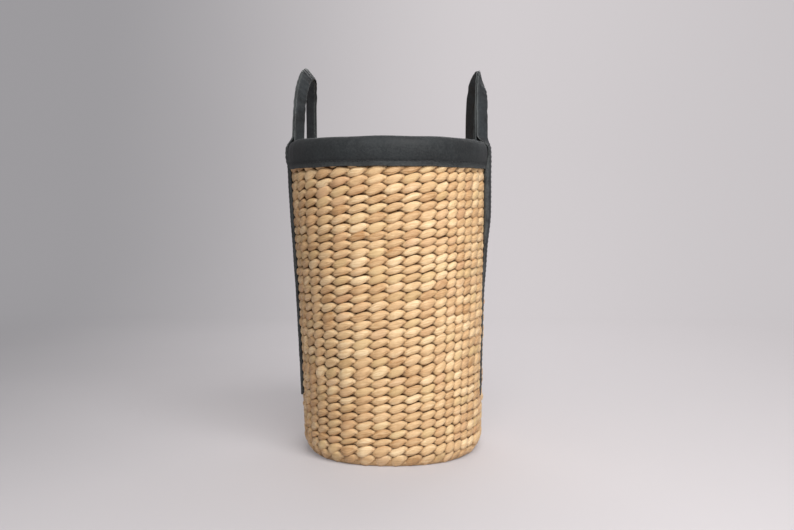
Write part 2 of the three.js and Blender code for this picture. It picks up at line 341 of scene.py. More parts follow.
class Graph:
    """The node tree of a material or of the world."""

    def __init__(self, owner: bpy.types.Material | bpy.types.World) -> None:
        """Empties the owner's node tree.

        Args:
            owner: The material or world that the nodes are for.
        """
        owner.use_nodes = True
        self.owner = owner
        self.tree = owner.node_tree
        self.tree.nodes.clear()

    def node(
        self,
        kind: str,
        settings: dict[str, Any] | None = None,
        inputs: dict[str | int, Any] | None = None,
    ) -> bpy.types.Node:
        """A node of any type.

        Args:
            kind: The node's type.
            settings: Its own properties, set first; stops gives a colour ramp's stops.
            inputs: Values or links of its sockets, by name or number.

        Returns:
            The node.
        """
        made = self.tree.nodes.new(kind)
        for key, value in (settings or {}).items():
            if key == "stops":
                elements = made.color_ramp.elements
                for place, shade in value[2:]:
                    elements.new(place).color = shade
                for element, (place, shade) in zip((elements[0], elements[-1]), value[:2]):
                    element.position = place
                    element.color = shade
            else:
                setattr(made, key, value)
        for key, value in (inputs or {}).items():
            socket = made.inputs[key]
            if isinstance(value, Number):
                value = value.socket
            if isinstance(value, bpy.types.NodeSocket):
                self.tree.links.new(value, socket)
            else:
                socket.default_value = value
        return made

    def attribute(self, name: str) -> Number:
        """A point attribute of one number."""
        return Number(self, self.node("ShaderNodeAttribute", {"attribute_name": name}).outputs["Fac"])

    def lay(self) -> bpy.types.NodeSocket:
        """The point attribute that follows a strand: along it, around it and from strand to strand."""
        return self.node("ShaderNodeAttribute", {"attribute_name": "lay"}).outputs["Vector"]

    def place(self) -> bpy.types.NodeSocket:
        """Object coordinates."""
        return self.node("ShaderNodeTexCoord").outputs["Object"]

    def stretched(self, vector: bpy.types.NodeSocket, scale: Triple) -> bpy.types.NodeSocket:
        """A vector scaled along each axis."""
        return self.node("ShaderNodeMapping", None, {"Vector": vector, "Scale": scale}).outputs[0]

    def noise(self, vector: bpy.types.NodeSocket, scale: float, detail: float, rough: float) -> Number:
        """Soft noise, about 0.3 to 0.7."""
        inputs = {"Vector": vector, "Scale": scale, "Detail": detail, "Roughness": rough}
        return Number(self, self.node("ShaderNodeTexNoise", None, inputs).outputs[0])

    def mix(self, amount: Number, first: Any, second: Any) -> bpy.types.NodeSocket:
        """Two colours mixed.

        Args:
            amount: Share of the second colour.
            first: Colour or socket.
            second: Colour or socket.

        Returns:
            The mixed colour's socket.
        """
        settings = {"data_type": "RGBA", "clamp_factor": True}
        made = self.node("ShaderNodeMix", settings, {0: amount, 6: first, 7: second})
        return made.outputs[2]

    def ramp(self, value: Number, stops: list[tuple[float, Colour]]) -> bpy.types.NodeSocket:
        """A colour picked by a value; the first two stops are the lowest and the highest."""
        return self.node("ShaderNodeValToRGB", {"stops": stops}, {0: value}).outputs[0]

    def bump(self, height: Number, depth: float, strength: float = 1.0) -> bpy.types.NodeSocket:
        """A normal raised by a height of 0 to 1, depth being in metres."""
        inputs = {"Height": height, "Distance": depth, "Strength": strength}
        return self.node("ShaderNodeBump", None, inputs).outputs[0]

    def looked_at(self) -> Number:
        """1 on a ray that the camera sends, straight, by a reflection or through glass, and otherwise 0.

        Returns:
            The sum of the three kinds of ray.
        """
        rays = self.node("ShaderNodeLightPath").outputs
        straight = Number(self, rays["Is Camera Ray"])
        reflected = Number(self, rays["Is Glossy Ray"])
        return straight + reflected + Number(self, rays["Is Transmission Ray"])

    def finish(self, inputs: dict[str, Any]) -> bpy.types.Material:
        """Joins a Principled shader to the material's output.

        Args:
            inputs: Values or links of the shader's sockets.

        Returns:
            The finished material.
        """
        shader = self.node("ShaderNodeBsdfPrincipled", None, inputs)
        self.node("ShaderNodeOutputMaterial", None, {"Surface": shader.outputs[0]})
        return self.owner


def colour(red: float, green: float, blue: float) -> Colour:
    """A linear colour with full alpha, by the two-part sRGB curve.

    Args:
        red: Red of 0 to 255.
        green: Green of 0 to 255.
        blue: Blue of 0 to 255.

    Returns:
        Red, green, blue and alpha of 0 to 1.
    """
    share = np.array([red, green, blue]) / 255
    linear = np.where(share <= 0.04045, share / 12.92, ((share + 0.055) / 1.055) ** 2.4)
    return (*(float(v) for v in linear), 1.0)


@dataclass(frozen=True)
class Hyacinth:
    """Dried water-hyacinth strands: straw tones that change from strand to strand, with fine fibres."""

    name: str = "hyacinth_strand"
    pale: Colour = colour(244, 218, 176)
    straw: Colour = colour(222, 186, 139)
    tan: Colour = colour(204, 165, 120)
    rosy: Colour = colour(204, 160, 122)
    green: Colour = colour(212, 185, 132)
    brown: Colour = colour(176, 130, 82)
    # Painted shade: the dark brown that deep places between the strands turn to
    crevice_shade: Colour = colour(72, 44, 20)
    # Stretch of each pattern along, around and from strand to strand
    fibre_lay: Triple = (0.035, 0.8, 1.0)
    fine_lay: Triple = (0.09, 3.4, 1.0)
    patch_lay: Triple = (0.11, 0.16, 1.0)
    spot_lay: Triple = (0.22, 0.5, 1.0)
    # How much fibres, fine fibres, patches and the stitch's own tone count in the ramp, and its offset
    fibre_share: float = 1.3
    fine_share: float = 0.8
    patch_share: float = 0.6
    tone_share: float = 0.7
    offset: float = 0.14
    # Places of the two middle tones in the ramp
    tan_stop: float = 0.28
    straw_stop: float = 0.62
    # Hues that turn rosy or green, and noise that makes brown spots, each with its strength
    rosy_over: Span = (0.66, 0.95)
    rosy_share: float = 0.5
    green_over: Span = (0.05, 0.35)
    green_share: float = 0.45
    spot_over: Span = (0.69, 0.78)
    spot_share: float = 0.45
    # Power of the painted shade in the crevices
    crevice_shade_power: float = 1.2
    # Roughness, and how much fine fibres and crevices add
    roughness: float = 0.52
    fine_rough: float = 0.3
    crevice_rough: float = 0.3
    # Relief in metres, its strength, and the parts of fibres and fine fibres in it
    fibre_depth: float = 0.0011
    relief: float = 0.75
    fibre_relief: float = 0.6
    fine_relief: float = 0.4

    def material(self) -> bpy.types.Material:
        """Colour from each stitch's tone, streaks along the strand and painted shade in its crevices.

        Returns:
            The new material.
        """
        g = Graph(bpy.data.materials.new(self.name))
        lay = g.lay()
        tone, hue, air = (g.attribute(key) for key in ("tone", "hue", "air"))
        fibre = g.noise(g.stretched(lay, self.fibre_lay), 1.0, 4, 0.6)
        fine = g.noise(g.stretched(lay, self.fine_lay), 1.0, 2, 0.5)
        patch = g.noise(g.stretched(lay, self.patch_lay), 1.0, 3, 0.6)
        streaks = (fibre - NOISE_MIDDLE) * self.fibre_share + (fine - NOISE_MIDDLE) * self.fine_share
        streaks = streaks + (patch - NOISE_MIDDLE) * self.patch_share
        ends = [(0.0, self.brown), (1.0, self.pale)]
        stops = ends + [(self.tan_stop, self.tan), (self.straw_stop, self.straw)]
        base = g.ramp(tone * self.tone_share + streaks + self.offset, stops)
        base = g.mix(hue.ease(*self.rosy_over) * self.rosy_share, base, self.rosy)
        base = g.mix((1 - hue.ease(*self.green_over)) * self.green_share, base, self.green)
        spots = g.noise(g.stretched(lay, self.spot_lay), 1.0, 2, 0.7).ease(*self.spot_over)
        base = g.mix(spots * self.spot_share, base, self.brown)
        # Painted shade: darker where a strand lies deep in the wall, between the others
        base = g.mix((1 - air) ** self.crevice_shade_power, base, self.crevice_shade)
        rough = self.roughness + (fine - NOISE_MIDDLE) * self.fine_rough + (1 - air) * self.crevice_rough
        height = fibre * self.fibre_relief + fine * self.fine_relief
        relief = g.bump(height, self.fibre_depth, self.relief)
        return g.finish(
            {"Base Color": base, "Roughness": rough, "Normal": relief, "Specular IOR Level": 0.4}
        )


@dataclass(frozen=True)
class Stem:
    """Crushed hyacinth stem of the stakes, darker and matt."""

    name: str = "hyacinth_stem"
    light: Colour = colour(150, 112, 70)
    dark: Colour = colour(96, 66, 36)
    fibre_lay: Triple = (0.03, 1.0, 1.0)
    fibre_over: Span = (0.3, 0.7)
    fibre_depth: float = 0.0008
    roughness: float = 0.85

    def material(self) -> bpy.types.Material:
        """Lengthwise fibres in two browns.

        Returns:
            The new material.
        """
        g = Graph(bpy.data.materials.new(self.name))
        fibre = g.noise(g.stretched(g.lay(), self.fibre_lay), 1.0, 4, 0.6)
        base = g.mix(fibre.ease(*self.fibre_over), self.dark, self.light)
        relief = g.bump(fibre, self.fibre_depth)
        return g.finish({"Base Color": base, "Roughness": self.roughness, "Normal": relief})


@dataclass(frozen=True)
class Leather:
    """Soft grained leather, grey-black, paler where its cut edges are worn."""

    name: str = "leather"
    body: Colour = colour(30, 34, 36)
    deep: Colour = colour(18, 21, 23)
    worn: Colour = colour(98, 101, 99)
    wear: float = 0.5
    # Clouds, specks, grain and creases to a metre
    clouds: float = 26.0
    specks: float = 420.0
    grains: float = 620.0
    creases: float = 95.0
    crease_stretch: Triple = (1.0, 1.0, 0.55)
    # Noise that counts as cloud and as rubbed, the parts that make it, specks, and relief
    cloud_over: Span = (0.3, 0.7)
    rub_over: Span = (0.45, 1.05)
    rub_cloud: float = 0.9
    rub_speck: float = 0.7
    speck_share: float = 0.35
    speck_offset: float = 0.05
    grain_share: float = 0.55
    crease_share: float = 0.8
    # Roughness, and how much clouds and specks add
    roughness: float = 0.66
    cloud_rough: float = 0.25
    speck_rough: float = 0.12
    # Relief in metres and its strength
    grain_depth: float = 0.0006
    relief: float = 0.6

    def material(self) -> bpy.types.Material:
        """Clouded colour, pebbled grain, shallow creases and worn edges.

        Returns:
            The new material.
        """
        g = Graph(bpy.data.materials.new(self.name))
        place = g.place()
        cloud = g.noise(place, self.clouds, 4, 0.6)
        speck = g.noise(place, self.specks, 2, 0.6)
        cells = {"Vector": place, "Scale": self.grains}
        voronoi = g.node("ShaderNodeTexVoronoi", {"feature": "SMOOTH_F1"}, cells)
        grain = Number(g, voronoi.outputs["Distance"])
        crease = g.noise(g.stretched(place, self.crease_stretch), self.creases, 3, 0.6)
        base = g.mix(cloud.ease(*self.cloud_over), self.deep, self.body)
        specks = (speck - NOISE_MIDDLE) * self.speck_share + self.speck_offset
        base = g.mix(specks, base, self.worn)
        rubbed = (cloud * self.rub_cloud + speck * self.rub_speck).ease(*self.rub_over)
        base = g.mix(g.attribute("edge") * rubbed * self.wear, base, self.worn)
        rough = self.roughness + (cloud - NOISE_MIDDLE) * self.cloud_rough
        rough = rough + (speck - NOISE_MIDDLE) * self.speck_rough
        height = grain * self.grain_share + crease * self.crease_share
        relief = g.bump(height, self.grain_depth, self.relief)
        return g.finish(
            {"Base Color": base, "Roughness": rough, "Normal": relief, "Specular IOR Level": 0.35}
        )


@dataclass(frozen=True)
class WaxedThread:
    """Twisted sewing thread with a dull wax."""

    name: str = "waxed_thread"
    light: Colour = colour(44, 46, 48)
    dark: Colour = colour(20, 21, 22)
    ply_scale: float = 0.55
    ply_distortion: float = 0.4
    ply_depth: float = 0.0002
    roughness: float = 0.6

    def material(self) -> bpy.types.Material:
        """Two near-blacks in the ply's slanting stripes.

        Returns:
            The new material.
        """
        g = Graph(bpy.data.materials.new(self.name))
        inputs = {"Vector": g.lay(), "Scale": self.ply_scale, "Distortion": self.ply_distortion}
        stripes = g.node("ShaderNodeTexWave", {"bands_direction": "DIAGONAL"}, inputs)
        ply = Number(g, stripes.outputs[1])
        base = g.mix(ply, self.dark, self.light)
        relief = g.bump(ply, self.ply_depth)
        return g.finish({"Base Color": base, "Roughness": self.roughness, "Normal": relief})


@dataclass(frozen=True)
class Paper:
    """Seamless studio paper, which also glows, more so far off, so that it stays pale in the shade."""

    name: str = "studio_paper"
    tone: Colour = colour(211, 206, 208)
    # Painted shade: the grey that the paper falls to at the left
    painted_shade: Colour = colour(158, 156, 159)
    # Glow near the bag and far off, and the distances between which it grows
    glow: Span = (0.3, 0.95)
    glow_over: Span = (0.6, 2.2)
    # Where the painted shade at the left starts and is full, where it ends far out, and a faint painted shade
    # at the right
    painted_shade_over: Span = (-0.95, 0.28)
    dusk_end: Span = (-4.5, -1.8)
    right_over: Span = (0.15, 1.2)
    right_share: float = 0.2
    # Where the painted shade sets in from the front to the back, and noise that makes its edge uneven
    depth_over: Span = (-1.6, 0.2)
    cloud_scale: float = 2.2
    cloud_shift: float = 0.1
    roughness: float = 0.9

    def material(self) -> bpy.types.Material:
        """Graded paper: pale, with painted shade that falls slowly to grey at the left.

        Returns:
            The new material.
        """
        g = Graph(bpy.data.materials.new(self.name))
        place = g.place()
        axes = g.node("ShaderNodeSeparateXYZ", None, {0: place}).outputs
        cloud = g.noise(place, self.cloud_scale, 2, 0.5)
        across = Number(g, axes[0]) + (cloud - NOISE_MIDDLE) * self.cloud_shift
        # Painted shade: the paper greys towards the left, faintly towards the right, and fades out towards
        # the front
        shade_share = (1 - across.ease(*self.painted_shade_over)) * across.ease(*self.dusk_end)
        shade_share = shade_share + across.ease(*self.right_over) * self.right_share
        base = g.mix(shade_share * Number(g, axes[1]).ease(*self.depth_over), self.tone, self.painted_shade)
        away = g.node("ShaderNodeVectorMath", {"operation": "LENGTH"}, {0: place}).outputs["Value"]
        near, far = self.glow
        glow = near + (far - near) * Number(g, away).ease(*self.glow_over)
        lit = g.node("ShaderNodeBsdfPrincipled", None, {"Base Color": base, "Roughness": self.roughness})
        shining = g.node("ShaderNodeEmission", None, {"Color": base})
        shares = {0: g.looked_at() * glow, 1: lit.outputs[0], 2: shining.outputs[0]}
        both = g.node("ShaderNodeMixShader", None, shares)
        g.node("ShaderNodeOutputMaterial", None, {"Surface": both.outputs[0]})
        return g.owner


@dataclass
class BodyForm:
    """The bag's oval wall as the part has it, with the soft lean and waves of a woven bag."""

    height: float = 340.0
    rim_half: Span = (110.0, 146.0)
    base_half: Span = (99.0, 128.0)
    fullness: float = 2.25
    corner: float = 12.0
    wall: float = 10.0
    stakes: int = 44
    # Stakes between which places run ahead round the rim, and drop back, by a share of its length
    crowd: float = 0.0193
    crowd_up: Span = (26.0, 33.0)
    crowd_down: Span = (35.5, 40.5)
    # Lean along X, and the heights over which it grows
    lean: float = -6.1
    lean_over: Span = (-60.0, 400.0)
    # Size, lobes, phase and height to a radian of each of the wall's waves, and where they are full
    waves: tuple[tuple[float, int, float, float], ...] = (
        (0.8, 2, 0.9, 130.0),
        (0.7, 3, -0.6, 80.0),
        (0.5, 5, 2.0, 47.0),
    )
    waves_full: float = 60.0
    # Sewn straps: distance from the middle of the side, and how far they draw in lower down
    foot: float = 42.0
    drawn_in: float = 10.0
    drawn_over: Span = (130.0, 318.0)
    strap_width: float = 17.0
    strap_end: float = 60.0
    # Margins over which a strap stops pressing, at its outer and inner edges and at its end
    press_outer: Span = (0.0, 1.5)
    press_inner: Span = (0.5, 4.0)
    press_end: Span = (-4.0, 2.0)
    steps_to_stake: int = 200

    def __post_init__(self) -> None:
        """Measures the rim in small steps, so that it can be divided into equal lengths."""
        self._angle = np.linspace(0, TURN, self.steps_to_stake * self.stakes + 1)
        rim, _ = self.oval(self._angle, np.array(self.rim_half))
        self._length = distance_along(rim)

    @property
    def rim_length(self) -> float:
        """Length round the outside of the weave at the rim."""
        return float(self._length[-1])

    def angle_at(self, place: Array) -> Array:
        """Angle at a place counted in stakes round the rim, whole numbers lying between stakes.

        The stakes are spread out over the front and crowd together on its right shoulder: a place runs ahead
        by an ease up over seven stakes and drops back by an ease down over five.

        Args:
            place: Places in stakes.

        Returns:
            Angles round the oval.
        """
        turn = np.mod(np.asarray(place, float), self.stakes)
        ahead = smoothstep(turn, *self.crowd_up) - smoothstep(turn, *self.crowd_down) - 1
        return self.angle_round(turn / self.stakes + self.crowd * ahead)

    def angle_round(self, share: Array) -> Array:
        """Angle at a share of the rim's length, with no regard to stakes."""
        return np.interp(np.mod(share, 1) * self._length[-1], self._length, self._angle)

    def strap_foot(self, z: Array) -> Array:
        """Distance along Y from the middle of a long side to the middle of a sewn strap."""
        return self.foot - self.drawn_in * (1 - smoothstep(z, *self.drawn_over))

    def pressed(self, points: Array) -> Array:
        """How far the straps press on the weave: 1 under a strap, eased to 0 past its edges and its end.

        Args:
            points: Points of the wall.

        Returns:
            Shares of 0 to 1.
        """
        x, y, z = np.moveaxis(points, -1, 0)
        past = np.abs(y) - self.strap_foot(z)
        half = self.strap_width / 2
        under = 1 - smoothstep(past - half, *self.press_outer)
        under = under * (1 - smoothstep(-past - half, *self.press_inner))
        under = under * smoothstep(z - self.strap_end, *self.press_end)
        on_long_side = np.abs(x - self.lean / 2) > self.base_half[0] / 2
        return under * on_long_side

    def half_axes(self, z: Array) -> Array:
        """Half-axes along X and Y at a height: upright at base and rim, flared between."""
        flare = smoothstep(z, 0, self.height)[..., None]
        return np.array(self.base_half) * (1 - flare) + np.array(self.rim_half) * flare

    def oval(self, angle: Array, half: Array) -> tuple[Array, Array]:
        """Points and level outward normals of a full oval, |x/a|^n + |y/b|^n = 1.

        Args:
            angle: Angle round the oval.
            half: Half-axes along X and Y, as the last axis.

        Returns:
            Points and normals in the plane, as last axes of two.
        """
        wheel = np.stack([np.cos(angle), np.sin(angle)], -1)
        points = half * signed_power(wheel, 2 / self.fullness)
        normals = unit(signed_power(wheel, 2 - 2 / self.fullness) / half)
        return points, normals

    def sway(self, angle: Array, z: Array) -> Array:
        """How far the wall waves outwards, a sum of slow slanting sines that die out at the base.

        Args:
            angle: Angle round the oval.
            z: Height.

        Returns:
            Distances outwards.
        """
        waves = [size * np.sin(lobes * angle + phase + z / rise) for size, lobes, phase, rise in self.waves]
        return sum(waves) * smoothstep(z, 0, self.waves_full)

    def surface(self, angle: Array, inset: Array, z: Array) -> tuple[Array, Array]:
        """Points set in from the outside of the weave, and level normals there.

        Args:
            angle: Angle round the oval.
            inset: Depth from the outside of the weave, along the normal.
            z: Height.

        Returns:
            Points and normals, of three numbers each.
        """
        angle, inset, z = np.broadcast_arrays(angle, inset, z)
        plan, level = self.oval(angle, self.half_axes(z))
        plan = plan + level * (self.sway(angle, z) - inset)[..., None]
        x = plan[..., 0] + self.lean * smoothstep(z, *self.lean_over)
        points = np.stack([x, plan[..., 1], z], -1)
        return points, np.concatenate([level, np.zeros(level.shape[:-1] + (1,))], -1)


@dataclass
class Weave:
    """Rows of two-strand twining round the stakes, over the wall, the corner and the base."""

    form: BodyForm
    finish: Hyacinth = field(default_factory=Hyacinth)
    # Rows of the wall: how many, how many to a piece, between which heights, and their climb
    wall_rows: int = 33
    band_rows: int = 6
    corner_top: float = 11.6
    row_top: float = 321.0
    row_climb: float = 5.5
    climb_full: float = 110.0
    # Unevenness of the rows: size and length in rows of a wave, its growth upwards, and a random part
    row_wave: float = 0.09
    row_wave_length: float = 22.0
    row_wave_growth: Span = (0.4, 0.02)
    row_spread: float = 0.06
    # The row that turns the corner: its tilt, size, height and step inwards
    corner_tilt: float = math.radians(38)
    corner_size: float = 14.0
    corner_height: float = 7.6
    corner_step: float = 2.5
    # The base: its rows, the gap outside them, and the coil round them
    base_rows: int = 9
    base_gap: float = 4.7
    least_stakes: int = 8
    base_steps: int = 4000
    coil_inset: float = 12.0
    coil_half: Span = (5.0, 4.2)
    coil_tone: float = 0.4
    coil_hue: float = 0.5
    # Share of the coil left unshaded; the rest of it takes painted shade
    coil_unshaded: float = 0.7
    # A stitch: length, swing out and in, its squareness and its lag
    stitch: float = 17.6
    reach: float = 2.3
    swing_power: float = 0.55
    overlap: float = 0.26
    # Rise to either side of the row's middle and half-heights, as shares of the row, and half-thicknesses
    rise: float = 0.22
    sharpness: float = 0.985
    tall: float = 0.53
    tall_tip: float = 0.29
    tall_root: float = 0.3
    plump: float = 0.75
    thick: float = 2.9
    thick_end: float = 3.3
    # Power of the section's height over a stake and at a crossing, and depths at which the painted shade is
    # full and at which it clears
    section: Span = (0.9, 1.9)
    shade: Span = (0.7, 2.9)
    # Differences between stitches in height, thickness, swing, rise and lift, and of a row along its run
    tall_spread: float = 0.09
    thick_spread: float = 0.12
    swing_spread: float = 0.35
    rise_spread: float = 0.15
    lift_spread: float = 0.45
    drift: float = 0.45
    drift_waves: tuple[int, ...] = (3, 5, 8, 13)
    drift_seed: int = 77
    # Depth that free strands keep within, that of strands under a strap, and a gap to the floor
    proud: float = 9.0
    flattened: float = 3.8
    floor_gap: float = 0.05
    # The fibres' pattern: step from side to side of a strand, its twist, and steps from strand to strand
    side_step: float = 2.0
    fibre_twist: float = 0.12
    row_step: float = 131.0
    strand_step: float = 57.0
    stitch_step: float = 9.0
    # Tones: how much a whole strand counts, and the part of a stitch over which they meet
    strand_share: float = 0.22
    tone_ease: float = 0.14
    samples: int = 12
    sides: int = 12
    row_seed: int = 3
    wall_seed: int = 11
    base_seed: int = 40

    def twine(self, place: RowPlace, stakes: int, sizes: Array, seed: int) -> tuple[Array, Layers]:
        """Rings of the two strands of each row.

        Each strand swings out and in as a squared-off cosine of half a wave to a stake, and climbs and falls
        as a triangle wave, the second strand half a wave behind the first. The swing lags the climb a little,
        so that the thin tip of a stitch lies over the thicker root of the next. A flat oval section rides on
        that path, as tall as the row over a stake and nearly a diamond where the strands cross, and each
        stitch gets its own size, lift and tone. Under a strap the strands are flattened to one depth.

        Args:
            place: Gives points, outward normals and up directions of the rows at places in stakes.
            stakes: Stakes round a row.
            sizes: Height of each row.
            seed: Chooses the stitches' differences.

        Returns:
            Rings of shape (strands, places, sides, 3) and the point attributes.
        """
        rng = np.random.default_rng(seed)
        rows = len(sizes)
        size = np.asarray(sizes, float)[:, None, None]
        u = np.arange(stakes * self.samples) / self.samples
        cell = np.floor(u).astype(int)
        strand = np.arange(2)
        phase = math.pi * (u - 0.5 + strand[:, None])
        outer = np.where((cell + strand[:, None]) % 2 == 0, 1.0, -1.0)
        inner = (outer < 0).astype(int)
        own = rng.normal(0, 1, (rows, stakes, 2, 6)).clip(-2, 2)[:, cell[None], inner]
        own_tall, own_thick, own_swing, own_rise, own_lift, own_run = np.moveaxis(own, -1, 0)
        swell = np.abs(np.cos(phase))
        wave = signed_power(np.cos(phase - self.overlap), self.swing_power)
        climb = np.arcsin(self.sharpness * np.sin(phase)) / math.asin(self.sharpness)
        tall = size * self._half_height(climb, swell, own_tall)
        full = self.thick * (1 + self.thick_spread * own_thick)
        thick = self.thick_end + (full - self.thick_end) * swell
        out = self.reach * wave + outer * self.swing_spread * own_swing * swell**2
        lift = size * self.rise * climb * (1 + self.rise_spread * own_rise * swell)
        lift = lift + self.lift_spread * own_lift * swell**2
        drift = [ripple(u / stakes, self.drift_waves, seed * self.drift_seed + row) for row in range(rows)]
        lift = lift + self.drift * np.array(drift)[:, None]
        # The section's corners lie half a side off the outward and the upward direction.
        turn = TURN * (np.arange(self.sides) - 0.25 * self.sides + 0.5) / self.sides
        points, normals, ups = place(u)
        ceiling = self.proud - (self.proud - self.flattened) * self.form.pressed(points)
        depth = out[..., None] + thick[..., None] * np.cos(turn)
        depth = np.minimum(depth, ceiling[:, None, :, None])
        over, crossing = self.section
        power = crossing + (over - crossing) * swell[..., None]
        up = lift[..., None] + tall[..., None] * signed_power(np.sin(turn), power)
        points, normals, ups = (v[:, None, :, None] for v in (points, normals, ups))
        rings = points + normals * depth[..., None] + ups * up[..., None]
        rings[..., 2] = np.maximum(rings[..., 2], self.floor_gap)
        tone, hue = (self._tone(rng, rows, stakes, u, inner) for _ in range(2))
        dark, clear = self.shade
        layers = {
            "lay": self._fibres(u, own_run),
            "tone": np.broadcast_to(tone[..., None], depth.shape),
            "hue": np.broadcast_to(hue[..., None], depth.shape),
            # Painted shade: share of the strand left unshaded, 0 deep in the wall and 1 out at its faces
            "air": np.clip((np.abs(depth) - dark) / (clear - dark), 0, 1),
        }
        return joined(rings, 2), {key: joined(values, 2) for key, values in layers.items()}

    def _half_height(self, climb: Array, swell: Array, own: Array) -> Array:
        """Half-height of a strand as a share of its row: full over a stake, and a waist at each crossing.

        Args:
            climb: The strand's climb, -1 at the root of a stitch and 1 at its tip.
            swell: 0 at a crossing and 1 over a stake.
            own: Each stitch's difference.

        Returns:
            Shares of the row's height.
        """
        root = (1 - climb) / 2
        waist = self.tall_tip + (self.tall_root - self.tall_tip) * root
        full = self.tall * (1 + self.tall_spread * own)
        return waist + (full - waist) * swell**self.plump

    def _fibres(self, u: Array, own: Array) -> Array:
        """Places in the fibres' pattern: along a strand, around it with a twist, and from stitch to stitch.

        Args:
            u: Places in stakes.
            own: Each stitch's difference, of shape (rows, strands, places).

        Returns:
            Vectors of shape (rows, strands, places, sides, 3).
        """
        shape = own.shape + (self.sides,)
        along = np.broadcast_to((u * self.stitch)[:, None], shape)
        along = along + self.row_step * np.arange(shape[0])[:, None, None, None]
        along = along + self.strand_step * np.arange(shape[1])[:, None, None]
        around = np.arange(self.sides) * self.side_step + self.fibre_twist * along
        run = np.broadcast_to((own * self.stitch_step)[..., None], shape)
        return np.stack([along, around, run], -1)

    def _tone(self, rng: np.random.Generator, rows: int, stakes: int, u: Array, inner: Array) -> Array:
        """A number of 0 to 1 for each stitch, eased into its neighbour at the crossing.

        Args:
            rng: Source of the numbers.
            rows: Number of rows.
            stakes: Stakes round a row.
            u: Places in stakes.
            inner: Whether each strand is inside there, 0 or 1.

        Returns:
            Numbers of shape (rows, strands, places).
        """
        stitch = rng.uniform(0, 1, (rows, stakes, 2))
        strand = rng.uniform(0, 1, (rows, 1, 2))
        stitch = (1 - self.strand_share) * stitch + self.strand_share * strand
        cell = np.floor(u).astype(int)
        part = u - cell
        here = stitch[:, cell[None], inner]
        before = stitch[:, (cell[None] - 1) % stakes, 1 - inner]
        after = stitch[:, (cell[None] + 1) % stakes, 1 - inner]
        to_before = 0.5 * (1 - smoothstep(part, 0, self.tone_ease))
        to_after = 0.5 * smoothstep(part, 1 - self.tone_ease, 1)
        return here * (1 - to_before - to_after) + before * to_before + after * to_after

    def _wall_place(self, insets: Array, heights: Array, tilts: Array) -> RowPlace:
        """Where rows of the wall or its corner lie; the wall's rows climb a little from left to right.

        Args:
            insets: Depth of each row's middle from the outside of the weave.
            heights: Height of each row's middle.
            tilts: Turn of each row's outward side towards the floor.

        Returns:
            A function from places in stakes to points, normals and up directions.
        """
        climbs = self.row_climb * smoothstep(heights, 0, self.climb_full)[:, None]
        tilt = tilts[:, None, None]

        def place(u: Array) -> tuple[Array, Array, Array]:
            """The form's surface at each row's inset and height, turned by its tilt.

            Args:
                u: Places in stakes.

            Returns:
                Points, outward normals and up directions.
            """
            angle = self.form.angle_at(u)[None]
            z = heights[:, None] + np.cos(angle) * climbs
            points, level = self.form.surface(angle, insets[:, None], z)
            normal = level * np.cos(tilt) - UP * np.sin(tilt)
            return points, normal, UP * np.cos(tilt) + level * np.sin(tilt)

        return place

    def wall_bands(self) -> list[bpy.types.Object]:
        """The wall's rows in bands, the lowest with the row that turns the corner.

        The rows share out the wall's height by a wave and a random part, which grow a little upwards.

        Returns:
            The bands, from the floor up.
        """
        middle = self.form.wall / 2
        rows = np.arange(self.wall_rows)
        wave = self.row_wave * np.cos(TURN * (self.wall_rows - rows) / self.row_wave_length)
        lowest, growth = self.row_wave_growth
        share = 1 + wave * (lowest + rows * growth)
        share = share + np.random.default_rng(self.row_seed).normal(0, self.row_spread, self.wall_rows)
        sizes = share / share.sum() * (self.row_top - self.corner_top)
        heights = self.corner_top + np.cumsum(sizes) - sizes / 2
        bands = []
        for number, start in enumerate(range(0, self.wall_rows, self.band_rows)):
            z = heights[start : start + self.band_rows]
            size = sizes[start : start + self.band_rows]
            inset = np.full(len(z), middle)
            tilt = np.zeros(len(z))
            if start == 0:
                arc = self.form.corner - middle
                corner_inset = self.form.corner - arc * math.cos(self.corner_tilt) + self.corner_step
                size = np.concatenate([[self.corner_size], size])
                z = np.concatenate([[self.corner_height], z])
                inset = np.concatenate([[corner_inset], inset])
                tilt = np.concatenate([[self.corner_tilt], tilt])
            place = self._wall_place(inset, z, tilt)
            twined = self.twine(place, self.form.stakes, size, self.wall_seed + number)
            bands.append(MeshMaker.loops(f"weave_band_{number + 1}", twined))
        return bands

    def edge_coil(self) -> tuple[Array, Layers]:
        """The round coil that the lowest row is twined over, a flat oval section carried round the base.

        Returns:
            Rings of shape (1, places, sides, 3) and the point attributes.
        """
        count = self.form.stakes * self.samples
        share = np.arange(count) / count
        turn = TURN * np.arange(self.sides) / self.sides
        wide, high = self.coil_half
        points, level = self.form.surface(self.form.angle_round(share), self.coil_inset, high)
        rings = points[:, None] + level[:, None] * (wide * np.cos(turn))[:, None]
        rings[..., 2] += high * np.sin(turn)
        shape = rings.shape[:2]
        along = np.broadcast_to((share * self.form.rim_length)[:, None], shape)
        around = np.broadcast_to(np.arange(self.sides) * self.side_step, shape) + self.fibre_twist * along
        layers = {
            "lay": np.stack([along, around, along * 0], -1),
            "tone": np.full(shape, self.coil_tone),
            "hue": np.full(shape, self.coil_hue),
            # Painted shade: the coil is evenly shaded in part
            "air": np.full(shape, self.coil_unshaded),
        }
        return rings[None], {key: value[None] for key, value in layers.items()}

    def _base_row(self, half: Array, size: float, seed: int) -> tuple[Array, Layers]:
        """One row of the base, twined round an oval that is divided into equal stitches.

        Args:
            half: Half-axes of the row's middle line.
            size: The row's width.
            seed: Chooses the stitches' differences.

        Returns:
            Rings of shape (strands, places, sides, 3) and the point attributes.
        """
        angle = np.linspace(0, TURN, self.base_steps + 1)
        run = distance_along(self.form.oval(angle, half)[0])
        stakes = max(self.least_stakes, 2 * round(run[-1] / self.stitch / 2))

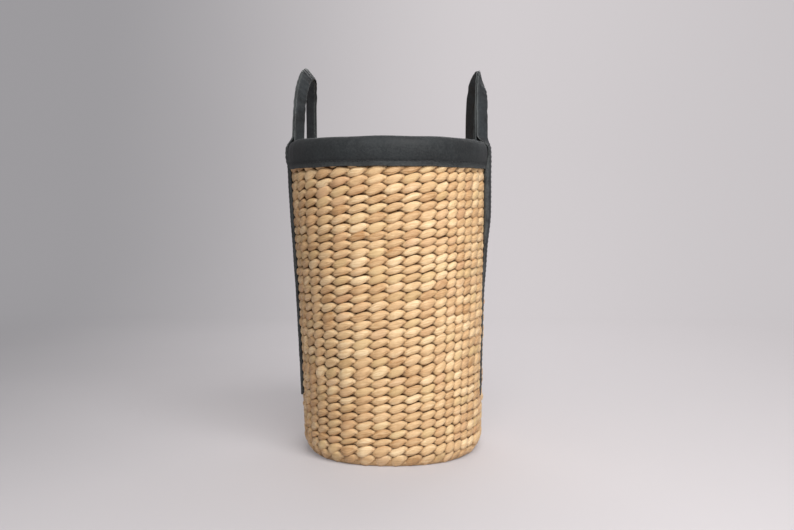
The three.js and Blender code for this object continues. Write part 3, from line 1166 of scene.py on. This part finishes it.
        def place(u: Array) -> tuple[Array, Array, Array]:
            """The oval at the middle of the base's thickness.

            Args:
                u: Places in stakes.

            Returns:
                Points, downward normals and outward directions.
            """
            at = np.interp(np.mod(u / stakes, 1) * run[-1], run, angle)
            plan, level = self.form.oval(at, half)
            flat = np.full((len(u), 1), self.form.wall / 2)
            points = np.concatenate([plan, flat], -1)
            down = np.broadcast_to(-UP, points.shape)
            outwards = np.concatenate([level, flat * 0], -1)
            return points[None], down[None], outwards[None]

        return self.twine(place, stakes, np.array([size]), seed)

    def base(self) -> bpy.types.Object:
        """The base: twined rows in nested ovals, from the corner in to a short line at the middle.

        Returns:
            The base as one piece, with the coil round it.
        """
        outer = np.array(self.form.base_half) - self.form.corner
        first = outer[0] - self.base_gap
        size = first / (self.base_rows - 0.5)
        rows = []
        for row in range(self.base_rows):
            short = first - size * row
            half = np.array([short, short + outer[1] - outer[0]])
            rows.append(self._base_row(half, size, self.base_seed + row))
        return MeshMaker.loops("weave_base", self.edge_coil(), *rows)

    def build(self) -> list[bpy.types.Object]:
        """Makes and dresses the weave's pieces.

        Returns:
            The wall's bands and the base.
        """
        pieces = [*self.wall_bands(), self.base()]
        material = self.finish.material()
        for piece in pieces:
            piece.data.materials.append(material)
            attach(piece, "bag")
            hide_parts("weave_outer", "weave_inner")
        return pieces


@dataclass
class Stakes:
    """The stems that the strands twine round, down one wall, over the base and up the other."""

    form: BodyForm
    finish: Stem = field(default_factory=Stem)
    side_pairs: int = 7
    end_pairs: int = 4
    width: float = 7.6
    thick: float = 2.2
    layer: float = 2.8
    top: float = 333.0
    # Powers that square off the section across and through it
    flat_power: float = 0.6
    deep_power: float = 0.8
    wall_rings: int = 26
    corner_rings: int = 6
    sides: int = 10
    # The fibres' pattern: steps from side to side and from stake to stake
    side_step: float = 2.0
    stake_step: float = 7.0

    def _half(self, place: float, floor: float) -> tuple[Array, Array]:
        """Half a stake from its top down to the base, a straight run and a quarter round at the corner.

        Args:
            place: Where it comes down, in stakes round the rim.
            floor: Height of its middle on the base.

        Returns:
            Path and outward normals.
        """
        middle = self.form.wall / 2
        arc = self.form.corner - middle
        straight = np.linspace(self.top, floor + arc, self.wall_rings)
        turn = np.linspace(0, math.pi / 2, self.corner_rings + 1)[1:]
        heights = np.concatenate([straight, floor + arc * (1 - np.sin(turn))])
        insets = np.concatenate([np.full(self.wall_rings, middle), self.form.corner - arc * np.cos(turn)])
        tilt = np.concatenate([np.zeros(self.wall_rings), turn])[:, None]
        points, level = self.form.surface(self.form.angle_at(np.array(place)), insets, heights)
        return points, level * np.cos(tilt) - UP * np.sin(tilt)

    def stem(self, name: str, place: float, opposite: float, layer: int) -> bpy.types.Object:
        """One stake, a squared-off oval section carried along its path.

        Args:
            name: The CAD node that it stands for.
            place: Where it comes down, in stakes round the rim.
            opposite: Where it goes up.
            layer: 0 for the lower layer of the base, 1 for the upper.

        Returns:
            The piece, not yet painted.
        """
        floor = self.form.wall / 2 + layer * self.layer
        down, first = self._half(place, floor)
        rise, second = self._half(opposite, floor)
        path = np.concatenate([down, rise[::-1]])
        normal = np.concatenate([first, second[::-1]])
        across = unit(np.cross(normal, unit(np.gradient(path, axis=0))))
        turn = TURN * np.arange(self.sides) / self.sides
        flat = signed_power(np.cos(turn), self.flat_power)[None, :, None] * self.width / 2
        deep = signed_power(np.sin(turn), self.deep_power)[None, :, None] * self.thick / 2
        rings = path[:, None] + across[:, None] * flat + normal[:, None] * deep
        shape = rings.shape[:2]
        along = np.broadcast_to(distance_along(path)[:, None], shape)
        around = np.broadcast_to(np.arange(self.sides) * self.side_step, shape)
        lay = np.stack([along, around, np.full(shape, place * self.stake_step)], -1)
        piece = MeshMaker.rods(name + "_stem", rings[None], {"lay": lay[None]})
        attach(piece, "bag")
        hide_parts(name)
        return piece

    def build(self) -> list[bpy.types.Object]:
        """Makes and dresses every stake.

        Returns:
            The stakes from side to side, then those from end to end.
        """
        count = self.form.stakes
        pieces = []
        for i in range(2 * self.side_pairs):
            facet = (i - self.side_pairs) % count
            opposite = (count // 2 - 1 - facet) % count
            pieces.append(self.stem(f"side_stake_{i + 1:02d}", facet + 0.5, opposite + 0.5, 0))
        for i in range(2 * self.end_pairs):
            facet = self.side_pairs + i
            opposite = count - 1 - facet
            pieces.append(self.stem(f"end_stake_{i + 1:02d}", facet + 0.5, opposite + 0.5, 1))
        material = self.finish.material()
        for piece in pieces:
            piece.data.materials.append(material)
        return pieces


@dataclass
class Seam:
    """A row of thread stitches, each a short bowed rod that dips into the leather at both ends."""

    thread: float = 0.9
    share: float = 0.74
    # Height of a stitch's middle, how far its ends dip and how much they taper, in threads
    proud: float = 0.35
    dip: float = 0.9
    taper: float = 0.75
    side_step: float = 0.5
    along: int = 7
    sides: int = 6

    def rods(
        self,
        name: str,
        middles: Array,
        ways: Array,
        normals: Array,
        pitch: float,
    ) -> bpy.types.Object:
        """The stitches of a seam as one piece, each bowed and tapered by the fourth power along it.

        Args:
            name: The piece's name.
            middles: Middle of each stitch on the leather's face.
            ways: Direction of each stitch along the seam.
            normals: Outward direction there.
            pitch: Distance from stitch to stitch.

        Returns:
            The new object.
        """
        t = np.linspace(-1, 1, self.along)
        reach = (t * pitch * self.share / 2)[None, :, None, None]
        bow = (self.thread * (self.proud - self.dip * t**4))[None, :, None, None]
        radius = (self.thread / 2 * np.sqrt(1 - self.taper * t**4))[None, :, None, None]
        turn = (TURN * np.arange(self.sides) / self.sides)[None, None, :, None]
        way, normal = ways[:, None, None], normals[:, None, None]
        side = np.cross(normal, way)
        rings = middles[:, None, None] + way * reach + normal * (bow + radius * np.sin(turn))
        rings = rings + side * radius * np.cos(turn)
        shape = rings.shape[:3]
        run = np.broadcast_to(reach[..., 0] + np.arange(len(middles))[:, None, None] * pitch, shape)
        around = np.broadcast_to(np.arange(self.sides) * self.side_step, shape)
        lay = np.stack([run, around, around * 0], -1)
        return MeshMaker.rods(name, rings, {"lay": lay})


@dataclass
class RimBinding:
    """Leather folded over the top of the wall and sewn through, fullest near its rounded top."""

    form: BodyForm
    leather: Leather = field(default_factory=lambda: Leather(name="binding_leather", wear=0.3))
    thread: WaxedThread = field(default_factory=WaxedThread)
    depth: float = 31.0
    crown: float = 12.0
    seam_rise: float = 5.6
    stitch: float = 5.0
    # Standing off the weave: at the edge, more towards the top, a puff above the seam and a nip at it
    skin: float = 1.5
    swell: float = 1.9
    puff: float = 0.5
    nip: float = 0.6
    nip_reach: float = 1.3
    # The section: power of its round top, gap to the weave, and rounding and points of its lower edge
    top_power: float = 0.95
    gap: float = 0.5
    edge_round: float = 1.4
    edge_shares: Triple = (0.0, 0.45, 0.85)
    edge_rises: Triple = (0.25, 0.0, 0.4)
    worn_reach: float = 1.6
    # Hollow of the fold, round the wall: its start above the lower edge and its roof below the top
    hollow_rise: float = 4.0
    roof_drop: float = 5.6
    # Waves in a turn of the rim and size: soft and short ones of the face, lower edge, crest, and puckers
    soft_waves: tuple[int, ...] = (3, 7, 11, 17)
    soft: float = 0.6
    short_waves: tuple[int, ...] = (23, 41, 58)
    short: float = 0.3
    edge_waves: tuple[int, ...] = (4, 9, 16, 29)
    edge_wave: float = 0.7
    crest_waves: tuple[int, ...] = (2, 5, 9, 14)
    crest_wave: float = 0.7
    pucker: float = 0.2
    pucker_reach: float = 2.5
    # Small unevenness of the sewing, as a sine of the share of the way round
    sewing: float = 0.25
    sewing_rate: float = 977.0
    around: int = 528
    face_steps: int = 24
    top_steps: int = 23

    @property
    def low(self) -> float:
        """Height of the lower edge."""
        return self.form.height - self.depth

    @property
    def fullest(self) -> float:
        """Height where the rounded top starts."""
        return self.form.height - self.crown

    @property
    def seam(self) -> float:
        """Height of the seam."""
        return self.low + self.seam_rise

    @property
    def stitch_count(self) -> int:
        """Stitches round the rim."""
        return round(self.form.rim_length / self.stitch)

    def _edge_at(self, share: Array) -> Array:
        """How far the lower edge waves up and down at a share of the way round."""
        return ripple(share, self.edge_waves, 8) * self.edge_wave

    def standoff(self, z: Array | float) -> Array:
        """How far the outer face stands off the weave.

        It grows evenly from the lower edge to the rounded top, with half a sine of puff above the seam and a
        bell-shaped nip at it.

        Args:
            z: Heights.

        Returns:
            Distances.
        """
        fullness = np.clip((z - self.low) / (self.fullest - self.low), 0, 1)
        above_seam = np.clip((z - self.seam) / (self.fullest - self.seam), 0, 1)
        nip = self.nip * np.exp(-(((z - self.seam) / self.nip_reach) ** 2))
        return self.skin + fullness * self.swell + self.puff * np.sin(math.pi * above_seam) - nip

    def section(self) -> tuple[Array, Array, Array]:
        """The folded strip's section, round from the outer lower edge: face, half oval, face and hollow.

        Returns:
            Insets, heights and edge wear.
        """
        wall = self.form.wall
        edge_top = self.low + self.edge_round
        z = np.linspace(edge_top, self.fullest, self.face_steps)
        face = -self.standoff(z)
        turn = np.linspace(0, math.pi, self.top_steps + 2)[1:-1]
        half = wall / 2 + float(self.standoff(self.fullest))
        top_inset = wall / 2 - half * signed_power(np.cos(turn), self.top_power)
        top_z = self.fullest + self.crown * signed_power(np.sin(turn), self.top_power)
        edge_depth = float(self.standoff(edge_top)) - self.gap
        edge_inset = -self.gap - np.array(self.edge_shares) * edge_depth
        edge_z = self.low + np.array(self.edge_rises)
        roof = self.form.height - self.roof_drop
        inside = wall + self.gap
        hollow = np.array([inside, inside, -self.gap, -self.gap])
        hollow_start = self.low + self.hollow_rise
        hollow_z = np.array([hollow_start, roof, roof, hollow_start])
        insets = [edge_inset, face, top_inset, wall - face[::-1], wall - edge_inset[::-1], hollow]
        heights = [edge_z, z, top_z, z[::-1], edge_z[::-1], hollow_z]
        face_worn = np.exp(-((z - edge_top) / self.worn_reach))
        edge_worn = np.ones(len(edge_z))
        worn = [edge_worn, face_worn, top_z * 0, face_worn[::-1], edge_worn, hollow * 0]
        return np.concatenate(insets), np.concatenate(heights), np.concatenate(worn)

    def strip(self) -> bpy.types.Object:
        """The leather, its section carried round the rim with soft waves and puckers at the stitches.

        Returns:
            The new object.
        """
        insets, heights, worn = self.section()
        share = np.arange(self.around) / self.around
        angle = self.form.angle_round(share)[:, None]
        outward = np.where(insets < self.form.wall / 2, -1.0, 1.0)
        soft = ripple(share, self.soft_waves, 5) * self.soft + ripple(share, self.short_waves, 6) * self.short
        high = smoothstep(heights, self.seam, self.fullest)
        edge = self._edge_at(share)[:, None] * (1 - high)
        crest = ripple(share, self.crest_waves, 9)[:, None] * self.crest_wave
        crest = crest * smoothstep(heights, self.fullest, self.form.height)
        pucker = self.pucker * np.cos(TURN * self.stitch_count * share)[:, None]
        pucker = pucker * np.exp(-(((heights - self.seam) / self.pucker_reach) ** 2))
        inset = insets + outward * (soft[:, None] * high + pucker)
        points, _ = self.form.surface(angle, inset, heights + edge + crest)
        wear = np.broadcast_to(worn, points.shape[:2])
        return MeshMaker.loops("rim_leather", (points[None], {"edge": wear[None]}))

    def stitches(self, face: Face) -> bpy.types.Object:
        """The seam's thread on one face, a stitch at each equal step round the rim.

        Args:
            face: The face of the wall.

        Returns:
            The new object.
        """
        count = self.stitch_count
        share = (np.arange(count) + 0.5) / count
        angle = self.form.angle_round(share)
        z = self.seam + self._edge_at(share) + self.sewing * np.sin(share * self.sewing_rate)
        off = float(self.standoff(self.seam))
        inset = -off if face is Face.OUTSIDE else self.form.wall + off
        points, level = self.form.surface(angle, np.full(count, inset), z)
        way = unit(np.roll(points, -1, 0) - np.roll(points, 1, 0))
        normal = level * -face.value
        return Seam().rods(f"rim_stitches_{face.name.lower()}", points, way, normal, self.stitch)

    def build(self) -> list[bpy.types.Object]:
        """Makes and dresses the binding and its two rows of stitches.

        Returns:
            The strip, then the outer and the inner stitches.
        """
        strip = self.strip()
        strip.data.materials.append(self.leather.material())
        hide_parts("rim_binding")
        pieces = [strip]
        material = self.thread.material()
        for face in Face:
            seam = self.stitches(face)
            seam.data.materials.append(material)
            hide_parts(f"rim_seam_thread_{face.name.lower()}")
            pieces.append(seam)
        for piece in pieces:
            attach(piece, "bag")
        return pieces


@dataclass
class Handle:
    """One handle: a strap sewn down both sides of its feet, twisted into a grip with a lining under it."""

    form: BodyForm
    binding: RimBinding
    side: Side
    # Place along X and tilt in degrees of the grip's front leg, top and back leg
    leg_x: Triple
    tilt: Triple
    top: float
    grip_width: float
    # How far the sewn straps hang off the weave under the rim, sink into it lower down, and are drawn
    # tight over the binding
    slack: float
    sunk: float
    tight: float
    thick: float = 2.6
    lining: float = 2.0
    lining_gap: float = 0.1
    lining_share: float = 0.97
    lining_low: float = 335.0
    # Sewn straps: where they meet the weave, are sunk in full and cross the binding's edge, and bite into it
    land: float = 240.0
    land_over: Span = (-20.0, 24.0)
    sunk_full: float = 150.0
    edge_over: Span = (-8.0, 1.0)
    bite: float = 0.4
    # Extra thickness that beds them in the weave, and the heights over which it ends
    bedded: float = 2.4
    bedded_over: Span = (312.0, 326.0)
    # Taper of a sewn end: how much narrower, over what margin
    tip: float = 12.0
    tip_over: Span = (-2.0, 7.0)
    # The bend from wall to grip: where it starts, over which heights, and the strap's turn on the wall
    foot_height: float = 332.0
    lean_over: Span = (332.0, 346.0)
    wall_turn: float = 0.16
    # Shares of the way over the arch at which the legs' places and the tilts change
    leg_full: float = 0.9
    first_over: Span = (0.12, 0.5)
    last_over: Span = (0.5, 0.76)
    # Waves of the leather: size on the wall, more on the grip, heights between, and length in height
    wave: float = 0.2
    grip_wave: float = 0.4
    wave_over: Span = (330.0, 385.0)
    wave_run: float = 400.0
    waves: tuple[int, ...] = (3, 7, 11, 16)
    # Section: points across, power of the rounded edge, crown, and where the edge counts as worn
    across_at: tuple[float, ...] = (0.0, 0.4, 0.7, 0.86, 0.94, 0.985, 1.0)
    edge_power: float = 7.0
    crown: float = 0.1
    worn_over: Span = (0.72, 0.97)
    # Thread: its size, pitch, distance from the edge, and depth in the strap's face
    thread: float = 0.7
    pitch: float = 5.5
    margin: float = 2.4
    face_share: float = 0.46
    face_sunk: float = 0.3
    # The hinge, in metres as the part's joint has it, and a low and a high height at it
    hinge_x: float = 0.106
    hinge_low: float = 0.338
    hinge_high: float = 0.366
    wall_steps: int = 90
    arch_steps: int = 148

    def _sewn(self, end: int, heights: Array) -> tuple[Array, Array, Array]:
        """One sewn strap, on the binding and down onto the weave, pressed in between the strands.

        Its outer face stands off the weave by the binding and its own thickness, hangs slack below the
        binding, and eases in lower down.

        Args:
            end: -1 for the front strap, 1 for the back one.
            heights: Heights to work it out at.

        Returns:
            Middle line, outward normals and thicknesses.
        """
        foot = self.form.strap_foot(heights)
        reach = np.arcsin((foot / self.form.rim_half[1]) ** (self.form.fullness / 2))
        angle = end * reach if self.side is Side.RIGHT else math.pi - end * reach
        low = self.slack * smoothstep(heights - self.land, *self.land_over)
        low = low - self.sunk * (1 - smoothstep(heights, self.sunk_full, self.land))
        over = self.binding.standoff(np.maximum(heights, self.binding.low)) - self.bite
        over = np.maximum(over - self.tight, self.slack)
        step = smoothstep(heights - self.binding.low, *self.edge_over)
        face = over * step + low * (1 - step) + self.thick
        bedding = face - self.thick + self.bedded
        thick = self.thick + bedding * (1 - smoothstep(heights, *self.bedded_over))
        points, level = self.form.surface(angle, thick / 2 - face, heights)
        return points, level, thick

    def _arch(self, straight: bool = False) -> tuple[Array, Array, Array, Array]:
        """The arch from foot to foot.

        The line is a half oval between the two feet. It bends over the binding's shoulder into the grip's
        own place and tilt, which run from the front leg over the top to the back leg.

        Args:
            straight: Whether the legs go straight down instead of over the shoulder.

        Returns:
            Points, outer-face normals, widthwise directions and widths.
        """
        turns = np.linspace(0, math.pi, self.arch_steps + 2)[1:-1]
        first, crest, last = (math.radians(tilt) for tilt in self.tilt)
        feet = [self._sewn(end, np.array([self.foot_height]))[0][0] for end in (-1, 1)]
        rise = self.top - self.foot_height - self.grip_width / 2 * math.cos(crest)
        height = rise * np.sin(turns)
        eased = smoothstep(self.foot_height + height, *self.lean_over)
        eased = np.ones_like(eased) if straight else eased
        share = (1 - np.cos(turns)) / 2
        foot_line = feet[0] + (feet[1] - feet[0]) * share[:, None]
        near, apex, far = self.leg_x
        legs = near + (far - near) * smoothstep(share, 0, self.leg_full)
        grip_x = legs + (apex - (near + far) / 2) * np.sin(turns) ** 4
        x = foot_line[:, 0] * (1 - eased) + grip_x * eased
        middle = np.stack([x, foot_line[:, 1], self.foot_height + height], -1)
        span = abs(feet[1][1] - feet[0][1]) / 2
        away = unit(np.stack([turns * 0, -rise * np.cos(turns), span * np.sin(turns)], -1))
        sideways = np.array([float(self.side.value), 0.0, 0.0])
        tilt = first + (crest - first) * smoothstep(share, *self.first_over)
        tilt = tilt + (last - crest) * smoothstep(share, *self.last_over)
        twist = (self.wall_turn * (1 - eased) + tilt * eased)[:, None]
        through = sideways * np.cos(twist) + away * np.sin(twist)
        across = away * np.cos(twist) - sideways * np.sin(twist)
        width = self.form.strap_width * (1 - eased) + self.grip_width * eased
        return middle, through, across, width

    def _waves(self, points: Array) -> Array:
        """How far the strap waves outwards at points along it: slow sines, larger on the grip.

        Args:
            points: Points of its middle line.

        Returns:
            Distances as a column.
        """
        size = self.wave + self.grip_wave * smoothstep(points[:, 2], *self.wave_over)
        share = points[:, 1] / (2 * self.form.foot) + points[:, 2] / self.wave_run
        return (ripple(share, self.waves, 21 + self.side.value) * size)[:, None]

    def _band(
        self,
        name: str,
        middle: Array,
        across: Array,
        through: Array,
        width: Array,
        thick: Array,
    ) -> bpy.types.Object:
        """A flat band with rounded edges and slightly crowned faces, carried along a line.

        Args:
            name: The object's name.
            middle: Middle line.
            across: Widthwise directions.
            through: Outer-face normals.
            width: Width at each place.
            thick: Thickness at each place.

        Returns:
            The new object, whose edge attribute says how near each point is to an edge.
        """
        flat = np.concatenate([-np.array(self.across_at[:0:-1]), self.across_at])
        half = np.sqrt(1 - np.abs(flat) ** self.edge_power) * (1 - self.crown * flat**2)
        flat_round = np.concatenate([flat, flat[-2:0:-1]])
        deep_round = np.concatenate([half, -half[-2:0:-1]])
        rings = middle[:, None] + across[:, None] * (flat_round[:, None] * width[:, None, None] / 2)
        rings = rings + through[:, None] * (deep_round[:, None] * thick[:, None, None] / 2)
        near = np.broadcast_to(smoothstep(np.abs(flat_round), *self.worn_over), rings.shape[:2])
        return MeshMaker.rods(name, rings[None], {"edge": near[None]})

    def lines(self) -> dict[str, Array]:
        """The whole strap from its front end up, over the arch and down to its back end.

        Returns:
            Middle line, directions across and through, widths and thicknesses.
        """
        z = np.linspace(self.form.strap_end, self.foot_height, self.wall_steps)
        front, front_normal, front_thick = self._sewn(-1, z)
        back, back_normal, back_thick = self._sewn(1, z)
        middle, through, across, width = self._arch()
        front_across = np.cross(UP, front_normal) * -self.side.value
        back_across = np.cross(UP, back_normal) * self.side.value
        tip = self.form.strap_width - self.tip * (1 - smoothstep(z - self.form.strap_end, *self.tip_over))
        grip_thick = np.full(len(middle), self.thick)
        line = {
            "middle": np.concatenate([front, middle, back[::-1]]),
            "across": np.concatenate([front_across, across, back_across[::-1]]),
            "through": np.concatenate([front_normal, through, back_normal[::-1]]),
            "width": np.concatenate([tip, width, tip[::-1]]),
            "thick": np.concatenate([front_thick, grip_thick, back_thick[::-1]]),
        }
        line["middle"] = line["middle"] + line["through"] * self._waves(line["middle"])
        return line

    def strap(self) -> bpy.types.Object:
        """The strap from sewn end to sewn end, one unbroken band."""
        return self._band(f"{self.side.word}_strap_leather", **self.lines())

    def under_layer(self) -> bpy.types.Object:
        """The lining sewn to the inner face of the grip, straight down to the top of the binding.

        Returns:
            The new object.
        """
        middle, through, across, width = self._arch(straight=True)
        keep = middle[:, 2] > self.lining_low
        sunk = (self.thick + self.lining) / 2 + self.lining_gap
        middle = middle + through * (self._waves(middle) - sunk)
        width = width[keep] * self.lining_share
        thick = np.full(keep.sum(), self.lining)
        name = f"{self.side.word}_grip_lining"
        return self._band(name, middle[keep], across[keep], through[keep], width, thick)

    def stitches(self) -> bpy.types.Object:
        """Thread down both edges of the strap: a stitch at each equal step of length, in from the edge.

        Returns:
            The new object.
        """
        line = self.lines()
        run = distance_along(line["middle"])
        at = np.arange(2 * self.pitch, run[-1] - 2 * self.pitch, self.pitch)

        def read(key: str) -> Array:
            """Vectors of the line at the stitches."""
            return np.stack([np.interp(at, run, column) for column in line[key].T], -1)

        centre, across, through = read("middle"), unit(read("across")), unit(read("through"))
        half = np.interp(at, run, line["width"]) / 2 - self.margin
        face = np.interp(at, run, line["thick"]) * self.face_share - self.face_sunk
        way = unit(np.gradient(centre, axis=0))
        rows = [centre + across * (edge * half)[:, None] + through * face[:, None] for edge in (-1, 1)]
        ways, normals = np.concatenate([way, way]), np.concatenate([through, through])
        name = f"{self.side.word}_strap_stitches"
        return Seam(thread=self.thread).rods(name, np.concatenate(rows), ways, normals, self.pitch)

    @staticmethod
    def leather(name: str) -> Leather:
        """Leather of a strap or lining, more mottled and creased by use than the binding."""
        return Leather(name, colour(42, 47, 50), colour(11, 14, 16), wear=0.4, clouds=48.0, roughness=0.6)

    def build(self) -> list[bpy.types.Object]:
        """Makes and dresses the strap, its thread and the lining.

        Returns:
            The strap, the lining and the thread.
        """
        word = self.side.word
        strap = self.strap()
        strap.data.materials.append(self.leather(f"{word}_strap_leather").material())
        ends = [f"{word}_{end}_{part}" for end in ("front", "back") for part in ("sewn_strap", "strap_flex")]
        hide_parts(*ends, f"{word}_handle_strap")
        lining = self.under_layer()
        lining.data.materials.append(self.leather(f"{word}_lining_leather").material())
        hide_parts(f"{word}_handle_lining")
        thread = self.stitches()
        thread.data.materials.append(WaxedThread(name=f"{word}_strap_thread").material())
        for piece in (strap, lining, thread):
            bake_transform(piece)
        return [strap, lining, thread]


@dataclass(frozen=True)
class Lamp:
    """A square soft lamp that the camera doesn't see, with its place and size in metres and its watts."""

    name: str
    place: Triple
    size: float
    power: float
    aim: Triple = (0.0, 0.0, 0.2)

    def build(self) -> None:
        """Hangs the lamp and turns it to its aim."""
        light = bpy.data.lights.new(self.name, "AREA")
        light.shape = "SQUARE"
        light.size = self.size
        light.energy = self.power
        lamp = bpy.data.objects.new(self.name, light)
        lamp.visible_camera = False
        lamp.location = self.place
        towards = Vector(self.aim) - Vector(self.place)
        lamp.rotation_euler = towards.to_track_quat("-Z", "Y").to_euler()
        bpy.context.scene.collection.objects.link(lamp)


@dataclass
class Studio:
    """Camera, paper sweep, soft lamps and an even room light."""

    # Camera, in metres and radians
    lens: float = 51.9
    sensor: float = 36.0
    camera: Triple = (0.0427, -1.2993, 0.2645)
    turn: float = 0.03
    shift_y: float = -0.0689
    near: float = 0.01
    # Paper sweep, in millimetres, and its rows on the floor, in the bend and up the wall
    bend_from: float = 1500.0
    bend: float = 400.0
    front: float = -6000.0
    half_width: float = 6000.0
    wall_top: float = 4000.0
    floor_rows: int = 30
    bend_rows: int = 24
    wall_rows: int = 20
    columns: int = 40
    floor_joint: float = 20.0
    wall_joint: float = 40.0
    paper: Paper = field(default_factory=Paper)
    room: Colour = colour(210, 205, 207)
    room_light: Colour = (1.0, 0.985, 0.975, 1.0)
    room_strength: float = 0.14
    lamps: tuple[Lamp, ...] = (
        Lamp("key", (0.56, -1.7, 1.6), 1.6, 66.0),
        Lamp("back", (0.1, 1.5, 1.5), 1.4, 18.0),
    )

    def sweep(self) -> bpy.types.Object:
        """The paper: a level floor that curves up by a quarter round into a wall, as a grid.

        Returns:
            The new object.
        """
        bend = np.linspace(0, math.pi / 2, self.bend_rows)
        start, radius = self.bend_from, self.bend
        floor_run = np.linspace(self.front, start - self.floor_joint, self.floor_rows)
        wall_run = np.full(self.wall_rows, start + radius)
        run = np.concatenate([floor_run, start + radius * np.sin(bend), wall_run])
        wall = np.linspace(radius + self.wall_joint, self.wall_top, self.wall_rows)
        rise = np.concatenate([floor_run * 0, radius * (1 - np.cos(bend)), wall])
        across = np.linspace(-self.half_width, self.half_width, self.columns)
        points = np.stack(np.broadcast_arrays(across[None], run[:, None], rise[:, None]), -1)
        rows, columns = points.shape[:2]
        row, column = np.meshgrid(np.arange(rows - 1), np.arange(columns - 1), indexing="ij")
        here = row * columns + column
        quads = np.stack([here, here + 1, here + columns + 1, here + columns], -1)
        floor = MeshMaker.put("paper_sweep", joined(points, 2), joined(quads, 2), closed=False)
        floor.data.materials.append(self.paper.material())
        return floor

    def world(self) -> bpy.types.World:
        """An even, dim room that shows as a pale backdrop where nothing stands before it.

        Returns:
            The new world.
        """
        world = bpy.data.worlds.new("room")
        g = Graph(world)
        even = {"Color": self.room_light, "Strength": self.room_strength}
        light = g.node("ShaderNodeBackground", None, even)
        backdrop = g.node("ShaderNodeBackground", None, {"Color": self.room, "Strength": 1.0})
        shares = {0: g.looked_at(), 1: light.outputs[0], 2: backdrop.outputs[0]}
        both = g.node("ShaderNodeMixShader", None, shares)
        g.node("ShaderNodeOutputWorld", None, {"Surface": both.outputs[0]})
        return world

    def build(self) -> None:
        """Sets the camera, the room light, the paper and the lamps."""
        data = bpy.data.cameras.new("camera")
        data.lens = self.lens
        data.sensor_width = self.sensor
        data.shift_y = self.shift_y
        data.clip_start = self.near
        camera = bpy.data.objects.new("camera", data)
        camera.location = self.camera
        camera.rotation_euler = (math.pi / 2, 0, self.turn)
        scene = bpy.context.scene
        scene.collection.objects.link(camera)
        scene.camera = camera
        scene.view_settings.view_transform = "Standard"
        scene.world = self.world()
        self.sweep()
        for lamp in self.lamps:
            lamp.build()


def main() -> None:
    """Builds the bag's pieces in order, logs their faces, and builds the studio."""
    logging.basicConfig(level=logging.INFO, format="%(name)s %(message)s")
    form = BodyForm()
    binding = RimBinding(form)
    left = Handle(
        form,
        binding,
        Side.LEFT,
        leg_x=(-104.4, -97.2, -98.4),
        tilt=(-38.0, -38.0, -43.0),
        top=424.6,
        grip_width=16.5,
        slack=0.4,
        sunk=0.6,
        tight=0.8,
    )
    right = Handle(
        form,
        binding,
        Side.RIGHT,
        leg_x=(98.4, 97.6, 89.8),
        tilt=(44.0, 5.0, 34.0),
        top=422.6,
        grip_width=18.0,
        slack=3.0,
        sunk=3.0,
        tight=0.0,
    )
    for part in (Weave(form), Stakes(form), binding, left, right):
        for piece in part.build():
            log.info("%s: %d faces", piece.name, len(piece.data.polygons))
    Studio().build()
    bpy.context.view_layer.update()


if __name__ == "__main__":
    main()
